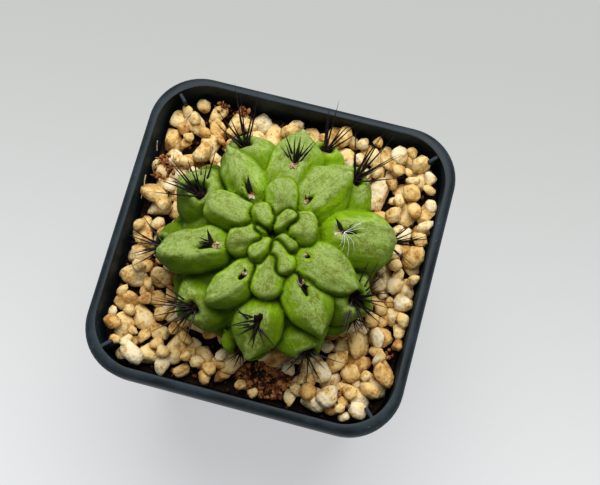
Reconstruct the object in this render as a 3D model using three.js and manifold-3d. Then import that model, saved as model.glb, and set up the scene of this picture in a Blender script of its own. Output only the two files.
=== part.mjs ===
// A small globular cactus in a square plastic nursery pot, top-dressed with pumice.
// Millimetres, +Z up. The origin is the middle of the pot's base, with X and Y along the pot's sides.

import * as THREE from 'three';
import { mergeVertices } from 'three/addons/utils/BufferGeometryUtils.js';
import Module from 'manifold-3d';

const wasm = await Module();
wasm.setup();

// Pot
const POT_HEIGHT = 70;
const RIM_HALF = 37.5;
const RIM_CORNER = 12.4;
const RIM_WIDTH = 2.4;
const RIM_LAND = 1.1;
const RIM_DROP = 7.5;
const RIM_DRAFT = 0.3;
const RIM_SHOULDER = 1.7;
const RIM_ROUND = 0.6;
const LIP_WALL = 1;
const BASE_HALF = 29.5;
const BASE_CHAMFER = 0.6;
const WALL = 1.2;
const FLOOR = 1.4;
const CORNER_RIB = { depth: 3, thickness: 0.9, below: 0.6 };
const DRAIN_HOLES = [
  { reach: 18.5, radius: 3, turn: Math.PI / 4, sides: 10 },
  { reach: 16, radius: 2.4, turn: 0, sides: 10 },
];

// Filling
const GAP = 0.35;
const SOIL_TOP = 62;
const GRAVEL_TOP = 63.8;
const BARE_PATCH = { x: 6.2, y: -29, halfLength: 5.8, halfWidth: 3.2, sides: 14 };

// The gravel's pebbles: sizes are half lengths. Sizes fall from the largest to the smallest over the first
// part of the tries, and two pebbles lie no closer than a share of their sizes added together.
const PEBBLES = {
  seed: 20,
  tries: 6000,
  largest: 3.2,
  smallest: 1.7,
  shrinkOver: 0.625,
  shrinkPower: 0.6,
  closest: 0.86,
  wallClearance: 0.95,
  patchClearance: 0.7,
  neckReach: 20,
  rise: 0.35,
  blockSide: 1.5,
  stretch: [1, 1.35],
  roll: [0.35, 0.85],
  tallness: [0.75, 1.05],
};

// Plant
const AXIS_X = 0.6;
const AXIS_Y = -0.3;
const EQUATOR_Z = 75.5;
const EQUATOR_RADIUS = 28;
const TOP_RISE = 12.6;
const BOTTOM_DROP = 14.5;
const CORE_INSET = 6.3;
const CROWN_INSET = 4.2;
const CORE_SIDES = 21;
const HOLE_TOP = 74;
const ROOT_PROFILE = [[13.4, 61.5], [10.2, 58.5], [6.6, 53], [4.2, 45], [2, 37], [0, 32]];

// The plant's kinds of tubercle. sink is how deep the inner end starts and proud how far the chin stands out.
// thick is half the thickness as a share of the width, blunt squares the ends, and dent is the areole's
// radius. A kind with spines says how many, how long, how far they lean from the middle of their fan, and how
// much that middle is raised from the skin's normal. The finer kinds have more facets.
const BARE = { count: 0, length: 0, lean: 0, rise: 0 };
const FINE = { around: 8, stations: 6 };
const PLAIN = { around: 7, stations: 5 };
const KINDS = {
  hidden: { sink: 1.5, proud: -1.2, thick: 0.5, blunt: 1.6, dent: 0, facets: PLAIN, spines: BARE },
  crown: { sink: 0.6, proud: -0.1, thick: 0.46, blunt: 1.6, dent: 0, facets: PLAIN, spines: BARE },
  full: {
    sink: 1.9, proud: 0.4, thick: 0.44, blunt: 1, dent: 1.25, facets: FINE,
    spines: { count: 4, length: 3.6, lean: 38, rise: 0 },
  },
  shoulder: {
    sink: 4.2, proud: -2.8, thick: 0.46, blunt: 1, dent: 1.9, facets: FINE,
    spines: { count: 8, length: 8.6, lean: 50, rise: 0.2 },
  },
  flank: {
    sink: 4.4, proud: -0.4, thick: 0.44, blunt: 1, dent: 1.6, facets: FINE,
    spines: { count: 8, length: 8, lean: 48, rise: 0.3 },
  },
  base: {
    sink: 4.6, proud: -1.8, thick: 0.42, blunt: 1, dent: 1.4, facets: PLAIN,
    spines: { count: 6, length: 5.5, lean: 38, rise: 0.55 },
  },
};

// The tubercles of the ten ribs, from the crown outwards. Azimuths and polar angles are in degrees, the polar
// angle from the plant's top. Each row gives the kind, azimuth and polar angle of the inner end, the same of
// the chin, the polar angle of the areole (0 for a young tubercle that has none in sight) and the width.
const RIBS = [
  [
    ['crown', 24, 7, 13, 23, 0, 6.8],
    ['full', 17, 23, 13, 88, 35, 14.2],
    ['flank', 15, 76, 17, 108, 93, 13],
    ['base', 10, 100, 12, 134, 116, 13],
  ],
  [
    ['crown', 28, 4, 46, 15, 0, 4.4],
    ['full', 48, 12, 59, 56, 21, 11],
    ['shoulder', 50, 34, 55, 98, 63, 14],
    ['base', 50, 90, 52, 131, 107, 13.5],
  ],
  [
    ['crown', 75, 7, 97, 27, 0, 6.4],
    ['full', 83, 19, 91, 80, 37, 13.2],
    ['flank', 78, 60, 75, 102, 79, 10.5],
    ['base', 79, 96, 80, 132, 114, 13],
  ],
  [
    ['hidden', 100, 3, 133, 15, 0, 5.4],
    ['full', 131, 13, 131, 61, 22, 12],
    ['shoulder', 117, 32, 126, 97, 62, 12.8],
    ['base', 118, 90, 120, 131, 106, 13.5],
  ],
  [
    ['hidden', 225, 2, 191, 9, 0, 3.6],
    ['crown', 176, 9, 168, 37, 0, 8.5],
    ['shoulder', 165, 27, 158, 88, 47, 13.5],
    ['base', 158, 80, 156, 128, 93, 13.5],
  ],
  [
    ['crown', 230, 6, 209, 22, 0, 6],
    ['full', 210, 20, 196, 71, 30, 11.2],
    ['flank', 196, 56, 197, 101, 76, 11.5],
    ['base', 190, 97, 189, 132, 112, 13],
  ],
  [
    ['hidden', 286, 4, 251, 16, 0, 4.2],
    ['full', 254, 14, 238, 50, 20, 8.8],
    ['shoulder', 240, 42, 231, 94, 63, 13.5],
    ['base', 228, 90, 227, 131, 105, 13.5],
  ],
  [
    ['crown', 285, 11, 279, 33, 0, 6.6],
    ['full', 275, 31, 271, 84, 47, 11.6],
    ['flank', 270, 72, 268, 103, 88, 10.8],
    ['base', 264, 99, 263, 133, 115, 12.5],
  ],
  [
    ['crown', 313, 5, 316, 23, 0, 5.8],
    ['full', 309, 22, 312, 68, 31, 11.4],
    ['flank', 301, 48, 303, 102, 81, 13],
    ['base', 300, 97, 300, 132, 113, 13],
  ],
  [
    ['hidden', 341, 6, 337, 16, 0, 3.8],
    ['full', 342, 15, 353, 62, 22, 10.6],
    ['shoulder', 337, 41, 343, 95, 66, 14],
    ['base', 333, 84, 331, 129, 101, 13.5],
  ],
];

// The form that every tubercle shares: where it is widest along its length, how square its inner and outer
// ends are across and upwards, its least half thickness, and how deep its middle line lies in that thickness.
const LOBE = {
  widest: 0.42,
  innerPower: 2.6,
  outerPowerAcross: 1.8,
  outerPowerUp: 2.4,
  rootAcross: 1.5,
  rootUp: 2,
  leastThickness: 2.6,
  depth: 0.95,
  depthLostAtChin: 0.35,
};

// Areoles: the pad's radius as a share of the dent's, its flatness, how far above the dent's floor it sits,
// and how far the dent is stretched along the rib. Areoles below a polar angle are old and have more spines.
const PAD = { share: 0.55, flatness: 0.8, clearance: 0.32, around: 5, stations: 3 };
const DENT = { stretch: 1.3, around: 7, stations: 4 };
const OLD = { polar: 34, count: 6, length: 5 };
const SPINE = { seed: 8, radius: 0.3, sides: 3, rooted: 0.3 };

const materials = {
  pot: new THREE.MeshStandardMaterial({ color: '#2b3238', roughness: 0.5, metalness: 0 }),
  soil: new THREE.MeshStandardMaterial({ color: '#3b2018', roughness: 0.95, metalness: 0 }),
  gravel: new THREE.MeshStandardMaterial({ color: '#d2ab74', roughness: 0.9, metalness: 0 }),
  skin: new THREE.MeshStandardMaterial({ color: '#6d9a3c', roughness: 0.6, metalness: 0 }),
  spine: new THREE.MeshStandardMaterial({ color: '#191318', roughness: 0.45, metalness: 0 }),
};

const SLIVER = 0.01;
const group = new THREE.Group();

function solid(geometry) {
  const bare = geometry.clone();
  bare.deleteAttribute('normal');
  bare.deleteAttribute('uv');
  const merged = mergeVertices(bare, 1e-5);
  return new wasm.Manifold(new wasm.Mesh({
    numProp: 3,
    vertProperties: new Float32Array(merged.attributes.position.array),
    triVerts: new Uint32Array(merged.index.array),
  }));
}

// The largest body of a solid, with slivers closed up, sealed hollows filled and loose scraps left out.
function wholeBody(body) {
  const bodies = body.simplify(SLIVER).decompose();
  return bodies.reduce((largest, one) => (one.volume() > largest.volume() ? one : largest));
}

function addNode(name, body, material) {
  const mesh = wholeBody(body).getMesh();
  const geometry = new THREE.BufferGeometry();
  geometry.setAttribute('position', new THREE.BufferAttribute(mesh.vertProperties, 3));
  geometry.setIndex(new THREE.BufferAttribute(mesh.triVerts, 1));
  geometry.computeVertexNormals();
  const node = new THREE.Mesh(geometry, material);
  node.name = name;
  group.add(node);
}

function moveVertices(geometry, move) {
  const position = geometry.attributes.position;
  const point = new THREE.Vector3();
  for (let i = 0; i < position.count; i++) {
    point.fromBufferAttribute(position, i);
    move(point);
    position.setXYZ(i, point.x, point.y, point.z);
  }
  return geometry;
}

// One repeatable stream of random numbers from 0 to 1.
function randomStream(seed) {
  let state = seed;
  return () => {
    state = (state + 0x6d2b79f5) | 0;
    let mixed = Math.imul(state ^ (state >>> 15), 1 | state);
    mixed = (mixed + Math.imul(mixed ^ (mixed >>> 7), 61 | mixed)) ^ mixed;
    return ((mixed ^ (mixed >>> 14)) >>> 0) / 4294967296;
  };
}

const between = ([least, most], share) => least + (most - least) * share;

function roundedSquare(half, radius) {
  const inner = half - radius;
  const shape = new THREE.Shape();
  shape.absarc(inner, inner, radius, 0, Math.PI / 2);
  shape.absarc(-inner, inner, radius, Math.PI / 2, Math.PI);
  shape.absarc(-inner, -inner, radius, Math.PI, 1.5 * Math.PI);
  shape.absarc(inner, -inner, radius, 1.5 * Math.PI, 2 * Math.PI);
  shape.closePath();
  return shape;
}

// A rounded square column whose half width changes at each [z, half] station.
function column(stations, topHalf, topCorner) {
  const steps = stations.length - 1;
  const geometry = new THREE.ExtrudeGeometry(roundedSquare(topHalf, topCorner), {
    depth: steps, steps, bevelEnabled: false, curveSegments: 5,
  });
  moveVertices(geometry, (point) => {
    const [z, half] = stations[Math.round(point.z)];
    point.x *= half / topHalf;
    point.y *= half / topHalf;
    point.z = z;
  });
  return solid(geometry);
}

// Half widths of the tapered wall at a height, outside and inside, and of what fills the pot.
const wallTopHalf = RIM_HALF - RIM_WIDTH + WALL;
const outerHalf = (z) => BASE_HALF + (wallTopHalf - BASE_HALF) * z / POT_HEIGHT;
const innerHalf = (z) => outerHalf(z) - WALL;
const fillHalf = (z) => innerHalf(z) - GAP;
const innerCorner = RIM_CORNER - RIM_WIDTH;

// How far the inner wall's corner reaches from the axis at a height.
function cornerReach(z) {
  const half = innerHalf(z);
  const radius = innerCorner * half / innerHalf(POT_HEIGHT);
  return Math.SQRT2 * (half - radius) + radius;
}

// The moulded rib in each inner corner, made larger all round by grow.
function cornerRibs(grow) {
  const low = FLOOR - WALL / 2 - grow;
  const high = POT_HEIGHT - CORNER_RIB.below + grow;
  let ribs = null;
  for (let i = 0; i < 4; i++) {
    const geometry = new THREE.BoxGeometry(1, CORNER_RIB.thickness + 2 * grow, 1);
    moveVertices(geometry, (point) => {
      const z = point.z > 0 ? high : low;
      const reach = cornerReach(z);
      point.x = point.x > 0 ? reach + WALL / 2 : reach - CORNER_RIB.depth - grow;
      point.z = z;
    });
    geometry.rotateZ(Math.PI / 4 + i * Math.PI / 2);
    const rib = solid(geometry);
    ribs = ribs ? ribs.add(rib) : rib;
  }
  return ribs;
}

// The gap behind the rim's lip, open at its lower end.
function rimGroove(bottom, top) {
  const outerFace = RIM_HALF - LIP_WALL;
  const low = bottom - 2;
  const high = top + 1;
  const wallHalf = outerHalf(POT_HEIGHT);
  const within = column([[low, outerFace - RIM_DRAFT], [top, outerFace]], outerFace, RIM_CORNER - LIP_WALL);
  const wall = column([[low, outerHalf(low)], [high, outerHalf(high)]], wallHalf, RIM_CORNER - WALL);
  return within.subtract(wall);
}

function drillHoles(pot) {
  let drilled = pot;
  for (const hole of DRAIN_HOLES) {
    for (let i = 0; i < 4; i++) {
      const angle = hole.turn + i * Math.PI / 2;
      const drill = new THREE.CylinderGeometry(hole.radius, hole.radius, 4 * FLOOR, hole.sides);
      drill.rotateX(Math.PI / 2);
      drill.translate(hole.reach * Math.cos(angle), hole.reach * Math.sin(angle), 0);
      drilled = drilled.subtract(solid(drill));
    }
  }
  return drilled;
}

function makePot() {
  const rimBottom = POT_HEIGHT - RIM_DROP;
  const shoulder = POT_HEIGHT - RIM_SHOULDER;
  const outside = column([
    [0, BASE_HALF - BASE_CHAMFER],
    [BASE_CHAMFER, outerHalf(BASE_CHAMFER)],
    [rimBottom, outerHalf(rimBottom)],
    [rimBottom, RIM_HALF - RIM_DRAFT],
    [shoulder, RIM_HALF],
    [POT_HEIGHT - RIM_ROUND, RIM_HALF - RIM_ROUND],
    [POT_HEIGHT, RIM_HALF - RIM_WIDTH + RIM_LAND],
  ], RIM_HALF, RIM_CORNER);
  const top = POT_HEIGHT + 1;
  const room = column([[FLOOR, innerHalf(FLOOR)], [top, innerHalf(top)]], innerHalf(POT_HEIGHT), innerCorner);
  const shell = outside.subtract(rimGroove(rimBottom, shoulder - RIM_ROUND)).subtract(room);
  return drillHoles(shell.add(cornerRibs(0)));
}

// The plant's skin is an ellipsoid with a flatter upper half. These give its outward normal, and the point
// that lies a stated height above it.
const radians = THREE.MathUtils.degToRad;

function skinNormal(azimuth, polar) {
  const drop = Math.cos(polar) > 0 ? TOP_RISE : BOTTOM_DROP;
  const level = Math.sin(polar) / EQUATOR_RADIUS;
  const rise = Math.cos(polar) / drop;
  return new THREE.Vector3(level * Math.cos(azimuth), level * Math.sin(azimuth), rise).normalize();
}

function skinPoint(azimuth, polar, lift) {
  const drop = Math.cos(polar) > 0 ? TOP_RISE : BOTTOM_DROP;
  const reach = EQUATOR_RADIUS * Math.sin(polar);
  const point = new THREE.Vector3(AXIS_X, AXIS_Y, EQUATOR_Z + drop * Math.cos(polar));
  point.x += reach * Math.cos(azimuth);
  point.y += reach * Math.sin(azimuth);
  return point.addScaledVector(skinNormal(azimuth, polar), lift);
}

function describe([kind, azimuthIn, polarIn, azimuthOut, polarOut, areole, width]) {
  return {
    ...KINDS[kind],
    width,
    deep: Math.max(width * KINDS[kind].thick, LOBE.leastThickness),
    areoleShare: areole ? (areole - polarIn) / (polarOut - polarIn) : 0,
    isOld: ['shoulder', 'flank', 'base'].includes(kind) || areole > OLD.polar,
    azimuth: (t) => radians(azimuthIn + (azimuthOut - azimuthIn) * t),
    polar: (t) => radians(polarIn + (polarOut - polarIn) * t),
  };
}

// How full a tubercle is at t, from 0 at both ends to 1 at its widest place.
function fullness(t, innerPower, outerPower, root) {
  const isInner = t < LOBE.widest;
  const x = isInner ? (LOBE.widest - t) / LOBE.widest : (t - LOBE.widest) / (1 - LOBE.widest);
  return Math.max(0, 1 - x ** (isInner ? innerPower : outerPower)) ** (1 / root);
}

// A tubercle's half width and half thickness at t, and the depth of its middle line under the skin.
function sectionAt(lobe, t) {
  const inner = LOBE.innerPower * lobe.blunt;
  const crest = lobe.proud * t * t - lobe.sink * (1 - t) ** 2;
  return {
    across: 0.5 * lobe.width * fullness(t, inner, LOBE.outerPowerAcross * lobe.blunt, LOBE.rootAcross),
    up: lobe.deep * fullness(t, inner, LOBE.outerPowerUp * lobe.blunt, LOBE.rootUp),
    depth: lobe.deep * (LOBE.depth - LOBE.depthLostAtChin * t * t) - crest,
  };
}

function frameOn(lobe, t) {
  const step = 0.01;
  const normal = skinNormal(lobe.azimuth(t), lobe.polar(t));
  const along = skinPoint(lobe.azimuth(t + step), lobe.polar(t + step), 0)
    .sub(skinPoint(lobe.azimuth(t - step), lobe.polar(t - step), 0)).normalize();
  const side = new THREE.Vector3().crossVectors(normal, along).normalize();
  return { normal, along, side };
}

function tubercle(lobe) {
  const geometry = new THREE.SphereGeometry(1, lobe.facets.around, lobe.facets.stations);
  moveVertices(geometry, (point) => {
    const t = (1 - point.y) / 2;
    const spread = Math.hypot(point.x, point.z);
    const { normal, side } = frameOn(lobe, t);
    const section = sectionAt(lobe, t);
    const isEnd = spread < 1e-6;
    const across = isEnd ? 0 : section.across * point.x / spread;
    const up = isEnd ? 0 : section.up * point.z / spread;
    point.copy(skinPoint(lobe.azimuth(t), lobe.polar(t), -section.depth));
    point.addScaledVector(side, across).addScaledVector(normal, up);
  });
  return solid(geometry);
}

// The outline of the core that the tubercles stand on, with the neck and root below it.
function coreProfile() {
  const profile = [new THREE.Vector2(0, EQUATOR_Z + TOP_RISE - CROWN_INSET)];
  for (let degrees = 20; degrees <= 140; degrees += 20) {
    const polar = radians(degrees);
    const drop = Math.cos(polar) > 0 ? TOP_RISE - CROWN_INSET : BOTTOM_DROP;
    const reach = (EQUATOR_RADIUS - CORE_INSET) * Math.sin(polar);
    profile.push(new THREE.Vector2(reach, EQUATOR_Z + drop * Math.cos(polar)));
  }
  for (const [reach, z] of ROOT_PROFILE) profile.push(new THREE.Vector2(reach, z));
  return profile;
}

function lathe(profile) {
  const geometry = new THREE.LatheGeometry(profile.slice().reverse(), CORE_SIDES);
  geometry.rotateX(Math.PI / 2);
  geometry.translate(AXIS_X, AXIS_Y, 0);
  return solid(geometry);
}

// The plain hole that the root and the lowest part of the body stand in.
function rootHole() {
  const widened = coreProfile().filter((point) => point.y < HOLE_TOP).map((point) => (
    point.x === 0 ? new THREE.Vector2(0, point.y - GAP) : new THREE.Vector2(point.x + GAP, point.y)
  ));
  widened.unshift(new THREE.Vector2(0, widened[0].y));
  return lathe(widened);
}

// Where a tubercle's areole sits on its crest, and the directions there.
function areoleOf(lobe) {
  const t = lobe.areoleShare;
  const section = sectionAt(lobe, t);
  const point = skinPoint(lobe.azimuth(t), lobe.polar(t), section.up - section.depth);
  return { point, ...frameOn(lobe, t) };
}

function dent(lobe) {
  const { point, normal, along, side } = areoleOf(lobe);
  const geometry = new THREE.SphereGeometry(1, DENT.around, DENT.stations);
  geometry.scale(lobe.dent, lobe.dent * DENT.stretch, lobe.dent);
  geometry.applyMatrix4(new THREE.Matrix4().makeBasis(side.clone().negate(), along, normal));
  geometry.translate(point.x, point.y, point.z);
  return solid(geometry);
}

function makeCactus(lobes) {
  let body = lathe(coreProfile());
  for (const lobe of lobes) body = body.add(tubercle(lobe));
  for (const lobe of lobes.filter((one) => one.areoleShare)) body = body.subtract(dent(lobe));
  return body;
}

// A pad of wool in the dent, with three-sided spines that leave it in an even fan.
function makeCluster(lobe, random) {
  const { point, normal, along, side } = areoleOf(lobe);
  const { spines } = lobe;
  const count = lobe.isOld ? Math.max(spines.count, OLD.count) : spines.count;
  const length = lobe.isOld ? Math.max(spines.length, OLD.length) : spines.length;
  const padRadius = lobe.dent * PAD.share;
  const padHeight = padRadius * PAD.flatness;
  const seat = point.clone().addScaledVector(normal, PAD.clearance - lobe.dent + padHeight);
  const pad = new THREE.SphereGeometry(1, PAD.around, PAD.stations);
  pad.scale(padRadius, padRadius, padHeight);
  pad.applyMatrix4(new THREE.Matrix4().makeBasis(along, side, normal));
  pad.translate(seat.x, seat.y, seat.z);
  const middle = normal.clone().addScaledVector(new THREE.Vector3(0, 0, 1), spines.rise).normalize();
  const outward = new THREE.Vector3().crossVectors(side, middle).normalize();
  const upright = new THREE.Vector3(0, 1, 0);
  let cluster = solid(pad);
  for (let i = 0; i < count; i++) {
    const turn = 2 * Math.PI * (i + 0.35 * random()) / count;
    const lean = radians(spines.lean * (i % 2 ? 1 : 0.5) * between([0.85, 1.15], random()));
    const reach = length * between([0.7, 1.2], random());
    const direction = middle.clone().multiplyScalar(Math.cos(lean))
      .addScaledVector(outward, Math.sin(lean) * Math.cos(turn))
      .addScaledVector(side, Math.sin(lean) * Math.sin(turn));
    const spine = new THREE.ConeGeometry(SPINE.radius, reach, SPINE.sides);
    spine.translate(0, reach / 2 - padRadius * SPINE.rooted, 0);
    spine.applyQuaternion(new THREE.Quaternion().setFromUnitVectors(upright, direction));
    spine.translate(seat.x, seat.y, seat.z);
    cluster = cluster.add(solid(spine));
  }
  return cluster;
}

// A block of the pot's filling from one height to another.
const filling = (low, high) => (
  column([[low, fillHalf(low)], [high, fillHalf(high)]], innerHalf(POT_HEIGHT), innerCorner)
);

function makeSoil() {
  return filling(FLOOR + GAP, SOIL_TOP).subtract(cornerRibs(GAP)).subtract(rootHole());
}

function isInsideWall(x, y, clearance) {
  const edge = fillHalf(GRAVEL_TOP) - clearance;
  const corner = innerCorner - clearance;
  const overX = Math.max(0, Math.abs(x) - (edge - corner));
  const overY = Math.max(0, Math.abs(y) - (edge - corner));
  return Math.hypot(overX, overY) <= corner;
}

function isInPatch(x, y, clearance) {
  const patchX = (x - BARE_PATCH.x) / (BARE_PATCH.halfLength + clearance);
  const patchY = (y - BARE_PATCH.y) / (BARE_PATCH.halfWidth + clearance);
  return Math.hypot(patchX, patchY) < 1;
}

function hasRoom(pebble, others) {
  const { x, y, size } = pebble;
  const fromNeck = Math.hypot(x - AXIS_X, y - AXIS_Y) - size * 0.5;
  return isInsideWall(x, y, size * PEBBLES.wallClearance)
    && fromNeck >= PEBBLES.neckReach
    && !isInPatch(x, y, size * PEBBLES.patchClearance)
    && others.every((other) => Math.hypot(other.x - x, other.y - y) >= PEBBLES.closest * (other.size + size));
}

// Pebbles are dropped one after another, the large ones first, wherever they still fit.
function pebblePlaces() {
  const random = randomStream(PEBBLES.seed);
  const room = fillHalf(GRAVEL_TOP);
  const places = [];
  for (let i = 0; i < PEBBLES.tries; i++) {
    const share = Math.min(1, i / PEBBLES.tries / PEBBLES.shrinkOver) ** PEBBLES.shrinkPower;
    const pebble = {
      size: between([PEBBLES.largest, PEBBLES.smallest], share),
      x: between([-room, room], random()),
      y: between([-room, room], random()),
      long: between(PEBBLES.stretch, random()),
      yaw: Math.PI * random(),
      roll: between(PEBBLES.roll, random()),
      tall: between(PEBBLES.tallness, random()),
    };
    if (hasRoom(pebble, places)) places.push(pebble);
  }
  return places;
}

function makePebble({ x, y, size, long, yaw, roll, tall }) {
  const side = size * PEBBLES.blockSide;
  const stone = new THREE.BoxGeometry(side, side, side);
  stone.rotateX(roll);
  stone.rotateY(roll);
  stone.scale(long, 1 / long, tall);
  stone.rotateZ(yaw);
  stone.translate(x, y, GRAVEL_TOP + PEBBLES.rise);
  return solid(stone);
}

function makeGravel() {
  const low = SOIL_TOP + GAP;
  const patch = new THREE.CylinderGeometry(1, 1, 2 * POT_HEIGHT, BARE_PATCH.sides);
  patch.rotateX(Math.PI / 2);
  patch.scale(BARE_PATCH.halfLength, BARE_PATCH.halfWidth, 1);
  patch.translate(BARE_PATCH.x, BARE_PATCH.y, 0);
  let gravel = filling(low, GRAVEL_TOP).subtract(solid(patch));
  for (const pebble of pebblePlaces()) gravel = gravel.add(makePebble(pebble));
  return gravel.intersect(filling(low, POT_HEIGHT)).subtract(cornerRibs(GAP)).subtract(rootHole());
}

const lobes = RIBS.flat().map(describe);
addNode('pot', makePot(), materials.pot);
addNode('soil', makeSoil(), materials.soil);
addNode('gravel', makeGravel(), materials.gravel);
addNode('cactus_body', makeCactus(lobes), materials.skin);
const spineRandom = randomStream(SPINE.seed);
lobes.filter((lobe) => lobe.areoleShare).forEach((lobe, i) => {
  addNode(`spines_${String(i + 1).padStart(2, '0')}`, makeCluster(lobe, spineRandom), materials.spine);
});

export default group;
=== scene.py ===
"""A small globular cactus in a square plastic nursery pot, top-dressed with pumice."""
import itertools
import math
from dataclasses import dataclass

import bmesh
import bpy
import numpy as np
from mathutils import Matrix, Vector, kdtree
from mathutils.bvhtree import BVHTree


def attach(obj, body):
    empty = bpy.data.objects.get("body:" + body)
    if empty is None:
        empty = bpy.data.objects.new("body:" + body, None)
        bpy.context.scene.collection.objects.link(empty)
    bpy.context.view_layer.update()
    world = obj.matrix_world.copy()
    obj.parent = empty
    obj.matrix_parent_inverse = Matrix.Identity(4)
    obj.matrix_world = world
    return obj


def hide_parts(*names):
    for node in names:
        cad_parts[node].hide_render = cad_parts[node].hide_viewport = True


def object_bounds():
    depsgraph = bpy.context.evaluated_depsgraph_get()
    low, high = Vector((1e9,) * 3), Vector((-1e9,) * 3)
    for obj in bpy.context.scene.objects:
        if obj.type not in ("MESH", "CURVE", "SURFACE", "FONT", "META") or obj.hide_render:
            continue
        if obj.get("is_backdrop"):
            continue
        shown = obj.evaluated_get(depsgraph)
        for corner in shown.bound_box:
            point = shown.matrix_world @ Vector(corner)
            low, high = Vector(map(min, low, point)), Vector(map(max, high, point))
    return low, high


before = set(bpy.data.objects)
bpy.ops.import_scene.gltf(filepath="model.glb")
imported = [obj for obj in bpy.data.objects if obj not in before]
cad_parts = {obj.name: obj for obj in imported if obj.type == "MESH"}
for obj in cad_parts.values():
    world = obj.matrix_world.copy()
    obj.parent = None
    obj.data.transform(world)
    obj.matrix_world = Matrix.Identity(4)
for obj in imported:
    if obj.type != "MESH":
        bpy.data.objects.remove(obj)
cad_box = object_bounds()

# Lengths are worked out in millimetres, and every mesh is scaled to metres when it is made.
MM = 0.001
UP = np.array([0.0, 0.0, 1.0])
FORWARD = np.array([1.0, 0.0, 0.0])
STEEP = 0.9

# Pot
POT_HEIGHT = 70
RIM_HALF = 37.5
RIM_CORNER = 12.4
RIM_WIDTH = 2.4
RIM_LAND = 1.1
RIM_DROP = 7.5
RIM_DRAFT = 0.3
RIM_SHOULDER = 1.7
RIM_SLOPE_WIDTH = 0.5
RIM_SLOPE_HEIGHT = 0.45
LIP_WALL = 1
GROOVE = 0.6
SKIRT = 3
INNER_CORNER = RIM_CORNER - RIM_WIDTH
BASE_MARGIN = 4
BASE_HALF = 29.5
WALL = 1.2
FLOOR = 1.4
RIB_DEPTH = 3
RIB_THICKNESS = 0.9
RIB_BELOW = 0.6
RIB_FOOT = 0.6
RIB_EDGE = 0.18
SHARP_ANGLE = 40
CORNER_STEPS = 14
SIDE_STEPS = 6
EDGE_STEPS = 3

# Drain holes, four of a kind: how far out, the radius and the angle of the first.
DRAIN_HOLES = ((18.5, 3, 45), (16, 2.4, 0))
HOLE_SIDES = 40

# Filling
GAP = 0.35
CRUST = 0.6
SOIL_SIDE_RINGS = (0, 10, 30)
SOIL_SHOULDER = 1.5
SOIL_TOP_RINGS = 34
SOIL_TOP_MIDDLE = 0.62
SOIL_TOP = 62
GRAVEL_TOP = 63.8
FILL_TOP = 67.4
BANK_WIDTH = 2.5
BANK_LIFT = 2.6
BANK_TOP_RISE = 1.2
HEAP_WIDTH = 8
HEAP_TOP = 69.2
HEAP_FROM = 16
BY_RIGHT_WALL = 30
STRAIGHT_HALF = 23
WALL_CLEARANCE = 0.15
PATCH_X = 6.2
PATCH_Y = -29
PATCH_HALF_LENGTH = 5.8
PATCH_HALF_WIDTH = 3.2

GRAINS = 2100
PATCH_GRAINS = 620

# Crumbs of peat on the gravel: the middle, how far they spread and how many there are.
CRUMB_Z = 65
CRUMB_SPOTS = (
    (-31.5, 14, 3, 90),
    (30.5, -17.5, 2.2, 36),
    (25, -24.3, 2.4, 40),
    (23.5, -29.5, 1.8, 24),
    (32.5, -7, 1.4, 16),
    (-22, 32.5, 2, 24),
    (-16.5, 32.5, 2, 24),
)

# Straws and rootlets: both ends and the radius.
STRAWS = (
    ((1, 23.7, 67.3), (4.5, 20.3, 68.2), 0.3),
    ((7.2, 28, 67), (10.1, 25.6, 67.4), 0.26),
    ((-28.3, 28.4, 66.9), (-28.9, 24.6, 67.4), 0.26),
    ((-34, 10.2, 68.6), (-33.6, 4.2, 67), 0.16),
    ((-34, 10.2, 68.6), (-31.6, 4.6, 67), 0.14),
    ((-33.8, 19.2, 68.4), (-33.4, 16.8, 67.4), 0.14),
    ((-31, 10.6, 67.2), (-28.6, 7.2, 67.4), 0.24),
)

# Plant
AXIS_X = 0.6
AXIS_Y = -0.3
EQUATOR_Z = 75.5
EQUATOR_RADIUS = 28
TOP_RISE = 12.6
BOTTOM_DROP = 14.5
CORE_INSET = 6.3
CROWN_INSET = 4.2
CORE_SIDES = 48
ROOT_PROFILE = ((13.4, 61.5), (10.2, 58.5), (6.6, 53), (4.2, 45), (2, 37))
NECK_CLEARANCE = 20
CROWN_EDGE = 25
CROWN_HEART = 13
NEAR_LOBE = 2.5
CLEFT_WIDTH = 0.3
CLEFT_DEPTH = 0.4
CLEFT_DEEPER_IN_CROWN = 0.15
KEEL_HEIGHT = 0.35
YOUNG_SEAT = 0.8
OLD_SEAT = 1.7

# The slit of an old areole: its length, half width and depth.
OLD_SLIT = (2.3, 1.5, 2.5)

# The plant's kinds of tubercle: how deep the inner end starts, how far the chin stands out, half the
# thickness as a share of the width, how square the ends are and how old it is. The rest makes the finer form:
# how much it swells against its neighbours and widens outwards, how boxy its section is at the inner end and
# at the keel of the chin, and how blunt the chin is from above.
FORM = ("sink", "proud", "thick", "blunt", "age", "swell", "taper", "box", "keel", "chin")
KINDS = {
    "hidden": (1.5, -1.2, 0.5, 2.1, 0, 1.6, 0.1, 3.4, 3.4, 1.8),
    "crown": (0.5, -0.1, 0.46, 2, 0.1, 1.64, 0.1, 3.9, 4, 2.1),
    "full": (0.7, 0.4, 0.5, 1, 0.4, 1.2, -0.05, 3.7, 1.7, 1),
    "plump": (0.7, 0.4, 0.5, 1.25, 0.4, 1.14, 0.1, 3.7, 2.2, 1.5),
    "broad": (0.7, 0.4, 0.5, 1.5, 0.4, 1.12, 0.06, 3.7, 2.8, 1.9),
    "shoulder": (3.4, -2.4, 0.46, 1, 0.8, 1.12, 0, 2.2, 1.6, 0.88),
    "flank": (4.4, -0.4, 0.44, 1, 0.9, 1.08, 0, 2.2, 1.6, 0.95),
    "base": (4.6, -1.8, 0.42, 1, 1, 1.05, 0, 2.1, 1.8, 1.1),
}

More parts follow.
